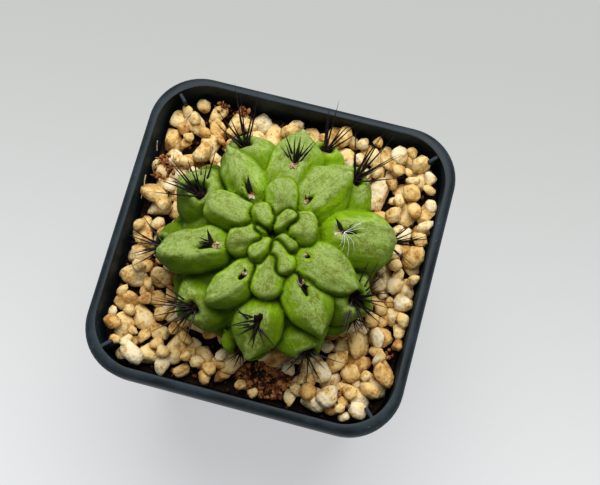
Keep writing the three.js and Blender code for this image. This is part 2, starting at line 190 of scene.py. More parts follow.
# The tubercles, four to each of the ten ribs, from the crown outwards. Each row gives the kind, azimuth and
# polar angle of the inner end, the same of the chin, the polar angle of the areole (0 for none in sight) and
# the width.
TIERS = 4
TUBERCLES = (
    ("crown", 23, 7, 19, 22, 0, 4.6),
    ("broad", 16, 22, 14, 84, 35, 12.4),
    ("flank", 15, 76, 17, 108, 93, 13),
    ("base", 10, 100, 12, 134, 116, 13),
    ("crown", 50, 1, 53, 15, 0, 2.7),
    ("full", 58, 15, 54, 62, 23, 10.6),
    ("shoulder", 50, 34, 55, 98, 63, 14),
    ("base", 50, 90, 52, 131, 107, 13.5),
    ("crown", 80, 5, 97, 28, 0, 4.7),
    ("full", 86, 20, 91, 81, 38, 10.8),
    ("flank", 78, 60, 75, 102, 79, 10.5),
    ("base", 79, 96, 80, 132, 114, 13),
    ("crown", 133, 1, 133, 15, 0, 3.1),
    ("full", 133, 13, 130, 64, 22, 7.8),
    ("shoulder", 117, 32, 126, 97, 62, 12.8),
    ("base", 118, 90, 120, 131, 106, 13.5),
    ("hidden", 176, 1, 174, 9, 0, 3),
    ("crown", 167, 10, 167, 38, 0, 5.2),
    ("shoulder", 165, 27, 158, 88, 47, 13.5),
    ("base", 158, 80, 156, 128, 93, 13.5),
    ("crown", 216, 4, 206, 22, 0, 4.4),
    ("plump", 209, 19, 199, 72, 29, 9.6),
    ("flank", 196, 56, 197, 101, 76, 11.5),
    ("base", 190, 97, 189, 132, 112, 13),
    ("crown", 262, 2, 247, 16, 0, 2.7),
    ("plump", 258, 14, 239, 51, 24, 7.3),
    ("shoulder", 240, 42, 231, 94, 63, 13.5),
    ("base", 228, 90, 227, 131, 105, 13.5),
    ("crown", 284, 9, 277, 33, 0, 4.4),
    ("full", 278, 31, 272, 83, 46, 9.8),
    ("flank", 270, 72, 268, 103, 88, 10.8),
    ("base", 264, 99, 263, 133, 115, 12.5),
    ("crown", 302, 3, 310, 22, 0, 3.4),
    ("full", 316, 20, 310, 67, 30, 9.4),
    ("flank", 301, 48, 303, 102, 81, 13),
    ("base", 300, 97, 300, 132, 113, 13),
    ("hidden", 338, 2, 341, 15, 0, 3.2),
    ("full", 339, 13, 344, 61, 20, 8.8),
    ("shoulder", 336, 34, 341, 95, 60, 14),
    ("base", 333, 84, 331, 129, 101, 13.5),
)

# The form that every tubercle shares. The slopes are those of the crest, on its section.
WIDEST = 0.42
INNER_POWER = 3.2
OUTER_POWER_ACROSS = 1.8
OUTER_POWER_UP = 2.4
LEAST_THICKNESS = 2.6
SLOPES = (56, 124)
LOBE_DEPTH = 0.95
DEPTH_LOST_AT_CHIN = 0.35
AROUND = 44
STATIONS = 40

# The sides on which the plant is brightest and on which its skin is frosted, as bearings from +X. Both
# are painted light: towards the first the flanks are painted a brighter lime, as if lit; the second is the
# bearing of a painted light, towards which the frost is painted stronger as a painted highlight, while
# the sides turned from it take painted shade.
BRIGHT_BEARING = 62
PAINTED_LIGHT_BEARING = 116

VOXEL = 0.3

# Where each stream of random draws starts.
SEEDS = {"model pebbles": 20, "gravel": 11, "heap": 23, "straws": 31, "grains": 5, "spines": 7, "lobes": 200}


def unit(vectors):
    return vectors / np.linalg.norm(vectors, axis=-1, keepdims=True)


def smooth_step(low, high, values):
    share = np.clip((values - low) / (high - low), 0, 1)
    return share * share * (3 - 2 * share)


def round_angles(count):
    return np.arange(count) * 2 * np.pi / count


def hashed(cells, seed):
    """A repeatable number from 0 to 1 for each whole-numbered cell."""
    mixed = cells @ np.array([374761393, 668265263, 2147483647]) + seed * 40503
    mixed = (mixed ^ (mixed >> 13)) * 1274126177
    return ((mixed ^ (mixed >> 16)) & 0xFFFF) / 0xFFFF


def noise(points, size, seed=0):
    """Smooth noise from -1 to 1, with features of a stated size."""
    scaled = np.asarray(points) / size
    corner = np.floor(scaled).astype(np.int64)
    share = scaled - corner
    share = share * share * (3 - 2 * share)
    total = 0
    for offset in itertools.product((0, 1), repeat=3):
        weight = np.prod(np.where(offset, share, 1 - share), axis=-1)
        total = total + weight * hashed(corner + np.array(offset), seed)
    return 2 * total - 1


def random_stream(state):
    """The repeatable stream of numbers from 0 to 1 that the model's own pebbles are drawn from."""
    mask = 2 ** 32 - 1
    while True:
        state = (state + 0x6D2B79F5) & mask
        mixed = ((state ^ (state >> 15)) * (1 | state)) & mask
        mixed = ((mixed + (((mixed ^ (mixed >> 7)) * (61 | mixed)) & mask)) ^ mixed) & mask
        yield ((mixed ^ (mixed >> 14)) & mask) / 2 ** 32


def link(name, data):
    made = bpy.data.objects.new(name, data)
    bpy.context.scene.collection.objects.link(made)
    return made


def new_mesh(name, vertices, faces, attributes=None):
    """A smooth mesh from vertices in millimetres."""
    mesh = bpy.data.meshes.new(name)
    mesh.from_pydata((np.asarray(vertices) * MM).tolist(), [], faces)
    mesh.validate()
    mesh.shade_smooth()
    set_attributes(mesh, attributes or {})
    return mesh


def set_attributes(mesh, attributes):
    for name, values in attributes.items():
        values = np.asarray(values, np.float32)
        kind, field = ("FLOAT", "value") if values.ndim == 1 else ("FLOAT_VECTOR", "vector")
        mesh.attributes.new(name, kind, "POINT").data.foreach_set(field, values.ravel())


def read(items, field, columns, kind=np.float32):
    values = np.empty(len(items) * columns, kind)
    items.foreach_get(field, values)
    return values.reshape(-1, columns)


def vertices_of(mesh):
    return read(mesh.vertices, "co", 3).astype(float) / MM


def normals_of(mesh):
    return read(mesh.vertices, "normal", 3).astype(float)


def move_vertices(mesh, points):
    mesh.vertices.foreach_set("co", (points * MM).astype(np.float32).ravel())
    mesh.update()


def apply_modifiers(piece):
    mesh = bpy.data.meshes.new_from_object(piece.evaluated_get(bpy.context.evaluated_depsgraph_get()))
    piece.modifiers.clear()
    old, piece.data = piece.data, mesh
    bpy.data.meshes.remove(old)


def finish_piece(piece, material, slot, *nodes):
    piece.data.materials.clear()
    piece.data.materials.append(material)
    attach(piece, "root")
    if nodes:
        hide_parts(*nodes)


class Bundle:
    """Many small closed meshes with triangular faces, gathered into one piece."""

    def __init__(self):
        self.vertices = []
        self.faces = []
        self.attributes = {}
        self.count = 0

    def add(self, shape, **attributes):
        """Take in a shape, its vertices and faces, with one value or one for each vertex under each name."""
        vertices, faces = shape
        self.vertices.append(vertices)
        self.faces.append(faces + self.count)
        self.count += len(vertices)
        for name, value in attributes.items():
            values = value if np.ndim(value) else np.full(len(vertices), float(value))
            self.attributes.setdefault(name, []).append(values)

    def finish(self, name, material, slot, *nodes):
        attributes = {key: np.concatenate(parts) for key, parts in self.attributes.items()}
        faces = np.concatenate(self.faces).tolist()
        mesh = new_mesh(name, np.concatenate(self.vertices), faces, attributes)
        finish_piece(link(name, mesh), material, slot, *nodes)


def ball(subdivisions):
    """Unit directions and triangles of a ball with even faces."""
    maker = bmesh.new()
    bmesh.ops.create_icosphere(maker, subdivisions=subdivisions, radius=1)
    maker.verts.ensure_lookup_table()
    directions = np.array([vertex.co[:] for vertex in maker.verts])
    faces = np.array([[vertex.index for vertex in face.verts] for face in maker.faces])
    maker.free()
    return unit(directions), faces


def tube(path, radii, sides):
    """A closed tube along a path, with its own radius at each point, in triangles."""
    along = unit(np.gradient(path, axis=0))
    side = [unit(np.cross(along[0], UP if abs(along[0][2]) < STEEP else FORWARD))]
    for direction in along[1:]:
        side.append(unit(side[-1] - direction * np.dot(side[-1], direction)))
    other = np.cross(along, side)
    angle = round_angles(sides)
    rings = path[:, None] + radii[:, None, None] * (
        np.cos(angle)[:, None] * np.array(side)[:, None] + np.sin(angle)[:, None] * other[:, None])
    j = np.arange(sides)
    after = (j + 1) % sides
    last = (len(path) - 1) * sides
    level = np.arange(0, last, sides)[:, None]
    a, b = (level + j).ravel(), (level + after).ravel()
    start = np.full(sides, last + sides)
    walls = (a, b, b + sides), (a, b + sides, a + sides)
    ends = (start, after, j), (start + 1, last + j, last + after)
    faces = np.concatenate([np.stack(three, 1) for three in walls + ends])
    return np.concatenate([rings.reshape(-1, 3), path[:1], path[-1:]]), faces


# Materials

class Paint:
    """A procedural material. Its methods add a shader node each and give the node's output."""

    def __init__(self, name, settings):
        self.material = bpy.data.materials.new(name)
        self.material.use_nodes = True
        self.tree = self.material.node_tree
        self.shader = self.tree.nodes["Principled BSDF"]
        for socket, value in settings.items():
            self.shader.inputs[socket].default_value = value

    def node(self, kind, inputs, output=0, **settings):
        made = self.tree.nodes.new(kind)
        for key, value in settings.items():
            setattr(made, key, value)
        for key, value in inputs.items():
            socket = made.inputs[key]
            if isinstance(value, bpy.types.NodeSocket):
                self.tree.links.new(value, socket)
            else:
                socket.default_value = (*value, 1) if socket.type == "RGBA" else value
        return made.outputs[output]

    def attribute(self, name, output="Fac"):
        return self.node("ShaderNodeAttribute", {}, output, attribute_name=name)

    def place(self):
        return self.node("ShaderNodeTexCoord", {}, "Object")

    def fractal(self, place, scale, detail=4, rough=0.55):
        return self.node("ShaderNodeTexNoise", {
            "Vector": place, "Scale": scale, "Detail": detail, "Roughness": rough})

    def cells(self, place, scale):
        return self.node("ShaderNodeTexVoronoi", {"Vector": place, "Scale": scale})

    def ranged(self, value, low, high, to_low=0.0, to_high=1.0):
        return self.node("ShaderNodeMapRange", {
            "Value": value, "From Min": low, "From Max": high, "To Min": to_low, "To Max": to_high},
            interpolation_type="SMOOTHSTEP")

    def compute(self, operation, first, second):
        return self.node("ShaderNodeMath", {0: first, 1: second}, operation=operation)

    def times(self, first, second):
        return self.compute("MULTIPLY", first, second)

    def plus(self, first, second):
        return self.compute("ADD", first, second)

    def blend(self, share, first, second):
        """Two colours mixed by a share."""
        return self.node("ShaderNodeMix", {0: share, 6: first, 7: second}, 2, data_type="RGBA")

    def tinted(self, colour, *tints):
        """A colour under tints, each laid on by its own share."""
        for share, tint in tints:
            colour = self.blend(share, colour, tint)
        return colour

    def ramp(self, value, *stops):
        """A colour from a value, by (position, colour) stops."""
        made = self.tree.nodes.new("ShaderNodeValToRGB")
        elements = made.color_ramp.elements
        while len(elements) < len(stops):
            elements.new(0.5)
        for element, (position, colour) in zip(elements, stops):
            element.position = position
            element.color = (*colour, 1)
        self.tree.links.new(value, made.inputs["Fac"])
        return made.outputs["Color"]

    def finish(self, colour, roughness=None, bumps=()):
        """The material, with its colour, roughness and a chain of (height, distance, strength) bumps."""
        ends = {"Base Color": colour, "Roughness": roughness, "Normal": None}
        for height, distance, strength in bumps:
            inputs = {"Height": height, "Distance": distance * MM, "Strength": strength}
            if ends["Normal"] is not None:
                inputs["Normal"] = ends["Normal"]
            ends["Normal"] = self.node("ShaderNodeBump", inputs)
        for socket, output in ends.items():
            if output is not None:
                self.tree.links.new(output, self.shader.inputs[socket])
        return self.material


def skin_material():
    """Green skin, frosted grey on the crests and lime on the flanks, with painted light, highlights and
    shade.
    """
    paint = Paint("skin", {
        "Subsurface Weight": 0.15, "Subsurface Scale": 0.9 * MM, "Subsurface Radius": (0.7, 1.0, 0.15),
        "Specular IOR Level": 0.16, "Specular Tint": (0.9, 1, 0.25, 1)})
    ranged, times, attribute = paint.ranged, paint.times, paint.attribute
    place = paint.place()
    lie = attribute("lie", "Vector")
    drawn_out = paint.node("ShaderNodeMapping", {"Vector": lie, "Scale": (0.3, 1.6, 1)})
    soft = paint.fractal(place, 260, 3)
    blotch = paint.fractal(place, 900, 5, 0.65)
    fine = paint.fractal(place, 2500, 3, 0.65)
    streak = paint.fractal(drawn_out, 1.1, 4, 0.65)
    specks = paint.cells(place, 3300)
    crest = attribute("crest")
    light_facing = attribute("light_facing")
    lit = attribute("lit")
    # Painted light: lit and shaded copies of the flank colour, the lime brighter on the lit side and in the
    # crown.
    flank = paint.blend(lit, (0.09, 0.145, 0.002), (0.25, 0.41, 0.005))
    flank = paint.blend(ranged(soft, 0.4, 0.62, 0, 0.45), flank, (0.16, 0.29, 0.004))
    olive = paint.blend(ranged(soft, 0.4, 0.6), (0.14, 0.17, 0.014), (0.15, 0.24, 0.008))
    # Painted highlight: the frost, the skin's own bloom, is painted stronger on the side facing the light.
    frost = times(times(crest, ranged(light_facing, 0, 1, 0.72, 1)), ranged(soft, 0.36, 0.6, 0.6, 1))
    frost = paint.plus(frost, ranged(blotch, 0.3, 0.7, -0.35, 0.28))
    patches = ranged(blotch, 0.35, 0.65, 0.1, 0.7)
    ridge = paint.compute("MAXIMUM", attribute("rim"), attribute("keel"))
    colour = paint.tinted(
        paint.blend(crest, flank, olive),
        (ranged(frost, 0.05, 0.95, 0, 0.8), (0.32, 0.405, 0.135)),
        (times(ranged(fine, 0.46, 0.66), 0.42), (0.075, 0.115, 0.01)),
        (times(ranged(streak, 0.46, 0.66), 0.36), (0.06, 0.12, 0.004)),
        # Painted highlight: pale along the crests' edges and keels on the side facing the light.
        (times(times(ridge, patches), light_facing), (0.42, 0.52, 0.2)),
        (times(ranged(specks, 0.4, 0.12), ranged(frost, -0.1, 0.8, 0.1, 0.55)), (0.5, 0.6, 0.3)),
        (times(attribute("chin"), patches), (0.17, 0.135, 0.06)),
        # Painted shade in the hollows, weaker on the lit side.
        (times(attribute("hollow_shade"), ranged(lit, 0, 1, 0.85, 0.15)), (0.04, 0.08, 0.001)),
        # Painted shade on the sides turned from the light, more on old lobes.
        (times(attribute("away_shade"), 0.8), (0.04, 0.075, 0.002)),
        (times(attribute("shaded"), 0.6), (0.035, 0.08, 0.001)),
        # Painted shade deep in the valleys, less on the lit side and on sides facing the light.
        (attribute("sunk_shade"), (0.03, 0.065, 0.001)),
        # Painted shade: a near-black line where two lobes meet.
        (ranged(attribute("crease_shade"), 0.1, 0.9, 0, 0.92), (0.008, 0.02, 0.001)),
        # Darker brown where the areole's slit is deepest.
        (attribute("deep_slit_dark"), (0.02, 0.013, 0.008)))
    bumps = (fine, 0.14, 0.5), (streak, 0.2, 0.5), (blotch, 0.15, 0.35)
    return paint.finish(colour, ranged(frost, 0.1, 1, 0.4, 0.62), bumps)


def pebble_material():
    """Cream, tan and ochre pumice with brown stains and fine pits, the pits darker: partly a stain, partly
    painted shade.
    """
    paint = Paint("pumice", {"Roughness": 0.9, "Specular IOR Level": 0.15})
    ranged, times = paint.ranged, paint.times
    grain = paint.attribute("grain", "Vector")
    broad = paint.fractal(grain, 0.4)
    fine = paint.fractal(grain, 1.7, 6, 0.72)
    pits = paint.cells(grain, 0.95)
    stone_colour = paint.ramp(
        paint.plus(paint.attribute("tone"), ranged(broad, 0.3, 0.7, -0.25, 0.25)),
        (0.0, (0.86, 0.74, 0.5)), (0.2, (0.86, 0.68, 0.35)), (0.5, (0.8, 0.55, 0.22)),
        (0.75, (0.64, 0.37, 0.12)), (1.0, (0.4, 0.2, 0.06)))
    colour = paint.tinted(
        stone_colour,
        (times(ranged(fine, 0.5, 0.3), 0.4), (0.9, 0.74, 0.4)),
        (times(ranged(broad, 0.5, 0.68), ranged(fine, 0.42, 0.6, 0.25, 0.9)), (0.36, 0.18, 0.05)),
        # Pits painted dark brown: partly the stone's stain, partly painted shade in the pits.
        (times(ranged(pits, 0.3, 0.1), ranged(fine, 0.45, 0.62, 0.0, 0.7)), (0.16, 0.075, 0.022)),
        (paint.attribute("pit"), (0.2, 0.1, 0.03)))
    return paint.finish(colour, bumps=((fine, 0.35, 0.8), (pits, 0.3, 0.7)))


def soil_material():
    """Dark damp mix with reddish granules."""
    paint = Paint("soil", {"Roughness": 0.85, "Specular IOR Level": 0.3})
    fine = paint.fractal(paint.place(), 1800, 6, 0.7)
    colour = paint.ramp(
        paint.plus(paint.attribute("tone"), paint.ranged(fine, 0.3, 0.7, -0.15, 0.15)),
        (0.0, (0.014, 0.007, 0.004)), (0.4, (0.055, 0.022, 0.01)), (0.7, (0.22, 0.075, 0.025)),
        (1.0, (0.52, 0.25, 0.09)))
    return paint.finish(colour, bumps=((fine, 0.3, 0.8),))


def pot_material():
    """Dark slate moulded plastic with a faint grain, dust and dried water marks."""
    paint = Paint("pot_plastic", {"Specular IOR Level": 0.32})
    place = paint.place()
    cloudy = paint.fractal(place, 130, 6, 0.66)
    grain = paint.fractal(place, 5200, 3)
    dust = paint.times(
        paint.ranged(paint.cells(place, 700), 0.2, 0.05), paint.ranged(cloudy, 0.5, 0.68, 0, 0.55))
    plastic = paint.blend(paint.ranged(cloudy, 0.35, 0.75), (0.008, 0.015, 0.02), (0.027, 0.044, 0.054))
    colour = paint.blend(dust, plastic, (0.2, 0.2, 0.19))
    return paint.finish(colour, paint.ranged(cloudy, 0.3, 0.7, 0.45, 0.62), ((grain, 0.03, 0.35),))


def spine_material():
    """Horny black-brown, redder at the base."""
    paint = Paint("spine_horn", {"Roughness": 0.32})
    streaks = paint.fractal(paint.place(), 900)
    horn = paint.ramp(
        paint.attribute("along"),
        (0.0, (0.03, 0.012, 0.01)), (0.2, (0.009, 0.005, 0.007)), (1.0, (0.005, 0.003, 0.004)))
    return paint.finish(paint.blend(paint.ranged(streaks, 0.55, 0.8, 0, 0.25), horn, (0.05, 0.035, 0.04)))


def wool_material():
    """Felt of the areoles, from cream on young ones to grey-black on old ones."""
    paint = Paint("wool", {"Roughness": 0.95, "Specular IOR Level": 0.08})
    uneven = paint.ranged(paint.fractal(paint.place(), 1500), 0.3, 0.7, -0.12, 0.12)
    return paint.finish(paint.ramp(
        paint.plus(paint.attribute("tone"), uneven),
        (0.0, (0.95, 0.9, 0.74)), (0.3, (0.7, 0.42, 0.17)), (0.5, (0.2, 0.07, 0.03)),
        (0.75, (0.045, 0.025, 0.02)), (1.0, (0.012, 0.009, 0.01))))


def straw_material():
    paint = Paint("straw", {"Roughness": 0.7})
    streaks = paint.ranged(paint.fractal(paint.place(), 1500), 0.35, 0.65)
    return paint.finish(paint.blend(streaks, (0.36, 0.23, 0.11), (0.58, 0.45, 0.29)))


def hair_material():
    paint = Paint("pale_hair", {"Roughness": 0.6})
    streaks = paint.fractal(paint.place(), 2500, 2)
    return paint.finish(paint.blend(streaks, (0.75, 0.74, 0.68), (0.9, 0.9, 0.86)))


def floor_material():
    """A pale board. Its weak glow keeps it as bright as in the photo and softens the pot's shadow."""
    paint = Paint("floor_paint", {
        "Roughness": 0.8, "Specular IOR Level": 0.2, "Emission Color": (0.97, 0.98, 1, 1),
        "Emission Strength": FLOOR_GLOW})
    across, forward = (paint.node("ShaderNodeSeparateXYZ", {0: paint.place()}, axis) for axis in "XY")
    # Painted light and shade: the floor is lighter towards -Y, by the pot's shadow, and darker towards +Y.
    painted_falloff = paint.ranged(paint.plus(forward, paint.times(across, -0.1)), -0.12, 0.11)
    return paint.finish(paint.blend(painted_falloff, (0.33, 0.33, 0.33), (0.065, 0.07, 0.05)))


# Pot

def outer_half(z):
    top = RIM_HALF - RIM_WIDTH + WALL
    return BASE_HALF + (top - BASE_HALF) * z / POT_HEIGHT


def inner_half(z):
    return outer_half(z) - WALL


def rounded_square(half, radius, z):
    """Points round a rounded square, anticlockwise, the same number for every size."""
    inner = half - radius
    angle = np.linspace(0, np.pi / 2, CORNER_STEPS + 1)
    edge = np.linspace(inner, -inner, SIDE_STEPS + 1)[1:-1]
    x = np.concatenate([inner + radius * np.cos(angle), edge])
    y = np.concatenate([inner + radius * np.sin(angle), np.full(len(edge), half)])
    flat = np.concatenate([np.stack(quarter, 1) for quarter in ((x, y), (-y, x), (-x, -y), (y, -x))])
    return np.column_stack([flat, np.full(len(flat), z)])


def loft(rings):
    """Vertices and faces of a skin through rings, with a cap at each end."""
    count = len(rings[0])
    top = (len(rings) - 1) * count
    faces = [
        (low + i, low + (i + 1) % count, low + count + (i + 1) % count, low + count + i)
        for low in range(0, top, count) for i in range(count)]
    return np.concatenate(rings), [*faces, tuple(reversed(range(count))), tuple(range(top, top + count))]


def round_edge(corner, before, after, radius):
    """Points that round the corner of a profile between two neighbours."""
    corner = np.array(corner, float)
    start, end = (corner + unit(np.array(other) - corner) * radius for other in (before, after))
    shares = np.linspace(0, 1, EDGE_STEPS + 1)[:, None]
    return (1 - shares) ** 2 * start + 2 * shares * (1 - shares) * corner + shares ** 2 * end


def pot_profile():
    """The pot's wall in section, from the base up and into the pot: half width, height, corner radius."""
    rim_bottom = POT_HEIGHT - RIM_DROP
    shoulder = POT_HEIGHT - RIM_SHOULDER
    groove_top = shoulder - GROOVE
    land = RIM_HALF - RIM_WIDTH + RIM_LAND
    corners = [
        (BASE_HALF - BASE_MARGIN, 0, 0),
        (BASE_HALF, 0, 0.6),
        (outer_half(rim_bottom - SKIRT), rim_bottom - SKIRT, 0),
        (outer_half(groove_top), groove_top, 0.25),
        (RIM_HALF - LIP_WALL, groove_top, 0.25),
        (RIM_HALF - LIP_WALL - RIM_DRAFT, rim_bottom, 0.3),
        (RIM_HALF - RIM_DRAFT, rim_bottom, 0.35),
        (RIM_HALF, shoulder, 0.6),
        (RIM_HALF - RIM_SLOPE_WIDTH, POT_HEIGHT - RIM_SLOPE_HEIGHT, 0.5),
        (land, POT_HEIGHT, 0.5),
        (inner_half(POT_HEIGHT), POT_HEIGHT, 0.35),
        (inner_half(FLOOR), FLOOR, 0.5),
        (inner_half(FLOOR) - BASE_MARGIN, FLOOR, 0),
    ]
    points = []
    for i, (half, z, radius) in enumerate(corners):
        if radius:
            points.extend(round_edge((half, z), corners[i - 1][:2], corners[i + 1][:2], radius))
        else:
            points.append(np.array([half, z], float))
    return points


def pot_ring(half, z, is_inside=True):
    share = INNER_CORNER / inner_half(POT_HEIGHT) if is_inside else RIM_CORNER / RIM_HALF
    return rounded_square(half, half * share, z)


def corner_rib(quarter):
    """One moulded rib, a thin slanted plate that runs up an inner corner."""
    corners = []
    for z in (FLOOR - RIB_FOOT, POT_HEIGHT - RIB_BELOW):
        half = inner_half(z)
        radius = INNER_CORNER * half / inner_half(POT_HEIGHT)
        reach = math.sqrt(2) * (half - radius) + radius
        ends, sides = (reach - RIB_DEPTH, reach + WALL / 2), (-RIB_THICKNESS / 2, RIB_THICKNESS / 2)
        corners += itertools.product(ends, sides, [z])
    angle = math.pi / 4 + quarter * math.pi / 2
    cosine, sine = math.cos(angle), math.sin(angle)
    turn = np.array([[cosine, -sine, 0], [sine, cosine, 0], [0, 0, 1]])
    faces = [(0, 1, 3, 2), (4, 6, 7, 5), (0, 4, 5, 1), (2, 3, 7, 6), (0, 2, 6, 4), (1, 5, 7, 3)]
    rib = link("rib", new_mesh("rib", np.array(corners) @ turn.T, faces))
    bevel = rib.modifiers.new("edge", "BEVEL")
    bevel.width = RIB_EDGE * MM
    bevel.segments = 2
    apply_modifiers(rib)
    return rib


def drill(reach, radius, angle):
    maker = bmesh.new()
    place = Vector((reach * math.cos(angle), reach * math.sin(angle), 0)) * MM
    bmesh.ops.create_cone(
        maker, cap_ends=True, segments=HOLE_SIDES, radius1=radius * MM, radius2=radius * MM,
        depth=4 * FLOOR * MM, matrix=Matrix.Translation(place))
    mesh = bpy.data.meshes.new("drill")
    maker.to_mesh(mesh)
    maker.free()
    return link("drill", mesh)


def join_or_cut(piece, tools, operation):
    for tool in tools:
        modifier = piece.modifiers.new(operation, "BOOLEAN")
        modifier.operation = operation
        modifier.solver = "EXACT"
        modifier.object = tool
    apply_modifiers(piece)
    for tool in tools:
        bpy.data.meshes.remove(tool.data)


def make_pot():
    """The pot. Its profile runs up the outside, over the rim's rounded edge and down the inside."""
    profile = pot_profile()
    top = max(range(len(profile)), key=lambda i: profile[i][1])
    vertices, faces = loft([pot_ring(half, z, i > top + 2) for i, (half, z) in enumerate(profile)])
    pot = link("pot_shell", new_mesh("pot_shell", vertices, faces))
    join_or_cut(pot, [corner_rib(quarter) for quarter in range(4)], "UNION")
    join_or_cut(pot, [
        drill(reach, radius, math.radians(start + 90 * quarter))
        for reach, radius, start in DRAIN_HOLES for quarter in range(4)], "DIFFERENCE")
    pot.data.shade_smooth()
    pot.data.set_sharp_from_angle(angle=math.radians(SHARP_ANGLE))
    finish_piece(pot, pot_material(), "pot", "pot")


# Plant

def skin_drop(polar):
    return np.where(np.cos(polar) > 0, TOP_RISE, BOTTOM_DROP)


def skin_normal(azimuth, polar):
    level = np.sin(polar) / EQUATOR_RADIUS
    rise = np.cos(polar) / skin_drop(polar)
    return unit(np.stack([level * np.cos(azimuth), level * np.sin(azimuth), rise], -1))


def skin_point(azimuth, polar, lift):
    reach = EQUATOR_RADIUS * np.sin(polar)
    point = np.stack([
        AXIS_X + reach * np.cos(azimuth), AXIS_Y + reach * np.sin(azimuth),
        EQUATOR_Z + skin_drop(polar) * np.cos(polar)], -1)
    return point + skin_normal(azimuth, polar) * np.asarray(lift)[..., None]


def from_axis(x, y):
    return np.hypot(x - AXIS_X, y - AXIS_Y)


def fullness(t, blunt, outer_power, outer_root=2):
    """How full a lobe is at t, from 1 where it is widest to 0 at its ends."""
    is_inner = t < WIDEST
    x = np.where(is_inner, (WIDEST - t) / WIDEST, (t - WIDEST) / (1 - WIDEST))
    power = blunt * np.where(is_inner, INNER_POWER, outer_power)
    return np.maximum(0, 1 - np.clip(x, 1e-9, 1) ** power) ** (1 / np.where(is_inner, 2, outer_root))


class Lobe:
    """One tubercle: a swollen lobe laid along the plant's skin."""

    def __init__(self, number, kind, azimuth_in, polar_in, azimuth_out, polar_out, areole, width):
        self.number = number
        vars(self).update(zip(FORM, KINDS[kind]))
        self.is_young = kind in ("full", "plump", "broad")
        self.ends = np.radians([[azimuth_in, polar_in], [azimuth_out, polar_out]])
        self.width = width * self.swell
        self.areole_share = (areole - polar_in) / (polar_out - polar_in) if areole else None
        self.deep = max(width * self.thick, LEAST_THICKNESS)

    def angles(self, t):
        t = np.asarray(t, float)[..., None]
        both = self.ends[0] * (1 - t) + self.ends[1] * t
        return both[..., 0], both[..., 1]

    def directions(self, t):
        """Normal, along and side directions at t."""
        t = np.asarray(t, float)
        normal = skin_normal(*self.angles(t))
        along = unit(skin_point(*self.angles(t + 0.01), 0 * t) - skin_point(*self.angles(t - 0.01), 0 * t))
        return normal, along, unit(np.cross(normal, along))

    def section(self, t):
        """Half width, half thickness and the middle line's depth at t."""
        across = fullness(t, self.blunt, OUTER_POWER_ACROSS, self.chin) * (1 + self.taper * (t - 0.5))
        up = self.deep * fullness(t, self.blunt, OUTER_POWER_UP)
        crest = self.proud * t ** 2 - self.sink * (1 - t) ** 2
        return 0.5 * self.width * across, up, self.deep * (LOBE_DEPTH - DEPTH_LOST_AT_CHIN * t ** 2) - crest

    def middle(self, t):
        return skin_point(*self.angles(t), -self.section(t)[2])

    def shell(self):
        """Vertices and faces of the lobe's skin."""
        t = (1 - np.cos(np.linspace(0, np.pi, STATIONS + 1)[1:-1])) / 2
        angle = round_angles(AROUND)
        power = 2 / (self.box + (self.keel - self.box) * t[:, None])
        cosine, sine = (np.sign(x) * np.abs(x) ** power for x in (np.cos(angle), np.sin(angle)))
        cosine, sine = self.planed(cosine, sine)
        normal, along, side = self.directions(t)
        across, up, depth = self.section(t)
        rings = (self.middle(t)[:, None] + side[:, None] * (across[:, None] * cosine)[..., None]
                 + normal[:, None] * (up[:, None] * sine)[..., None])
        vertices = np.concatenate([rings.reshape(-1, 3), self.middle(np.array([0.0, 1.0]))])
        uneven = 0.5 * noise(vertices, 5.5, self.number) + 0.24 * noise(vertices, 2.6, self.number)
        outward = unit(vertices - self.middle(np.clip(self.share_of(vertices), 0.1, 0.9)))
        return vertices + outward * uneven[:, None], lobe_faces()

    def planed(self, cosine, sine):
        """The section with its top pared to two slopes, which meet in a soft ridge along the lobe."""
        random = np.random.RandomState(SEEDS["lobes"] + self.number)
        for lean in SLOPES:
            bearing = math.radians(lean + random.uniform(-16, 16))
            across, up = math.cos(bearing), math.sin(bearing)
            excess = 0.85 * np.maximum(0, cosine * across + sine * up - random.uniform(0.86, 0.98))
            cosine, sine = cosine - excess * across, sine - excess * up
        return cosine, sine

    def share_of(self, points):
        """How far along the lobe each point lies, from 0 at the inner end to 1 at the chin."""
        steps = 40
        t = np.linspace(0, 1, steps + 1)
        ahead = np.einsum("nkj,kj->nk", points[:, None] - self.middle(t), self.directions(t)[1])
        is_passed = ahead < 0
        after = np.clip(np.where(is_passed.any(axis=1), is_passed.argmax(axis=1), steps), 1, steps)
        rows = np.arange(len(points))
        before, behind = ahead[rows, after - 1], ahead[rows, after]
        return (after - 1 + np.clip(before / np.maximum(before - behind, 1e-6), 0, 1)) / steps

    def local(self, points):
        """Share along the lobe, offset to the side, and height on the section from -1 to 1 on the crest."""
        t = self.share_of(points)
        normal, along, side = self.directions(t)
        across, up, depth = self.section(t)
        offset = points - self.middle(t)
        aside = np.sum(offset * side, axis=1)
        above = np.sum(offset * normal, axis=1)
        x = aside / np.maximum(across, 1)
        y = above / np.maximum(up, 1)
        return t, aside, y / np.maximum(np.hypot(x, y), 1e-6)

    def areole(self):
        """Where the areole sits on the crest, with the directions there."""
        t = np.array(self.areole_share)
        across, up, depth = self.section(t)
        return (skin_point(*self.angles(t), 0.93 * up - depth), *self.directions(t))


def lobe_faces():
    """Faces of a skin through rings, with a pole at each end."""
    last = (STATIONS - 2) * AROUND
    start = last + AROUND
    faces = [
        (low + i, low + AROUND + i, low + AROUND + (i + 1) % AROUND, low + (i + 1) % AROUND)
        for low in range(0, last, AROUND) for i in range(AROUND)]
    for i in range(AROUND):
        after = (i + 1) % AROUND
        faces += [(start, i, after), (start + 1, last + after, last + i)]
    return faces


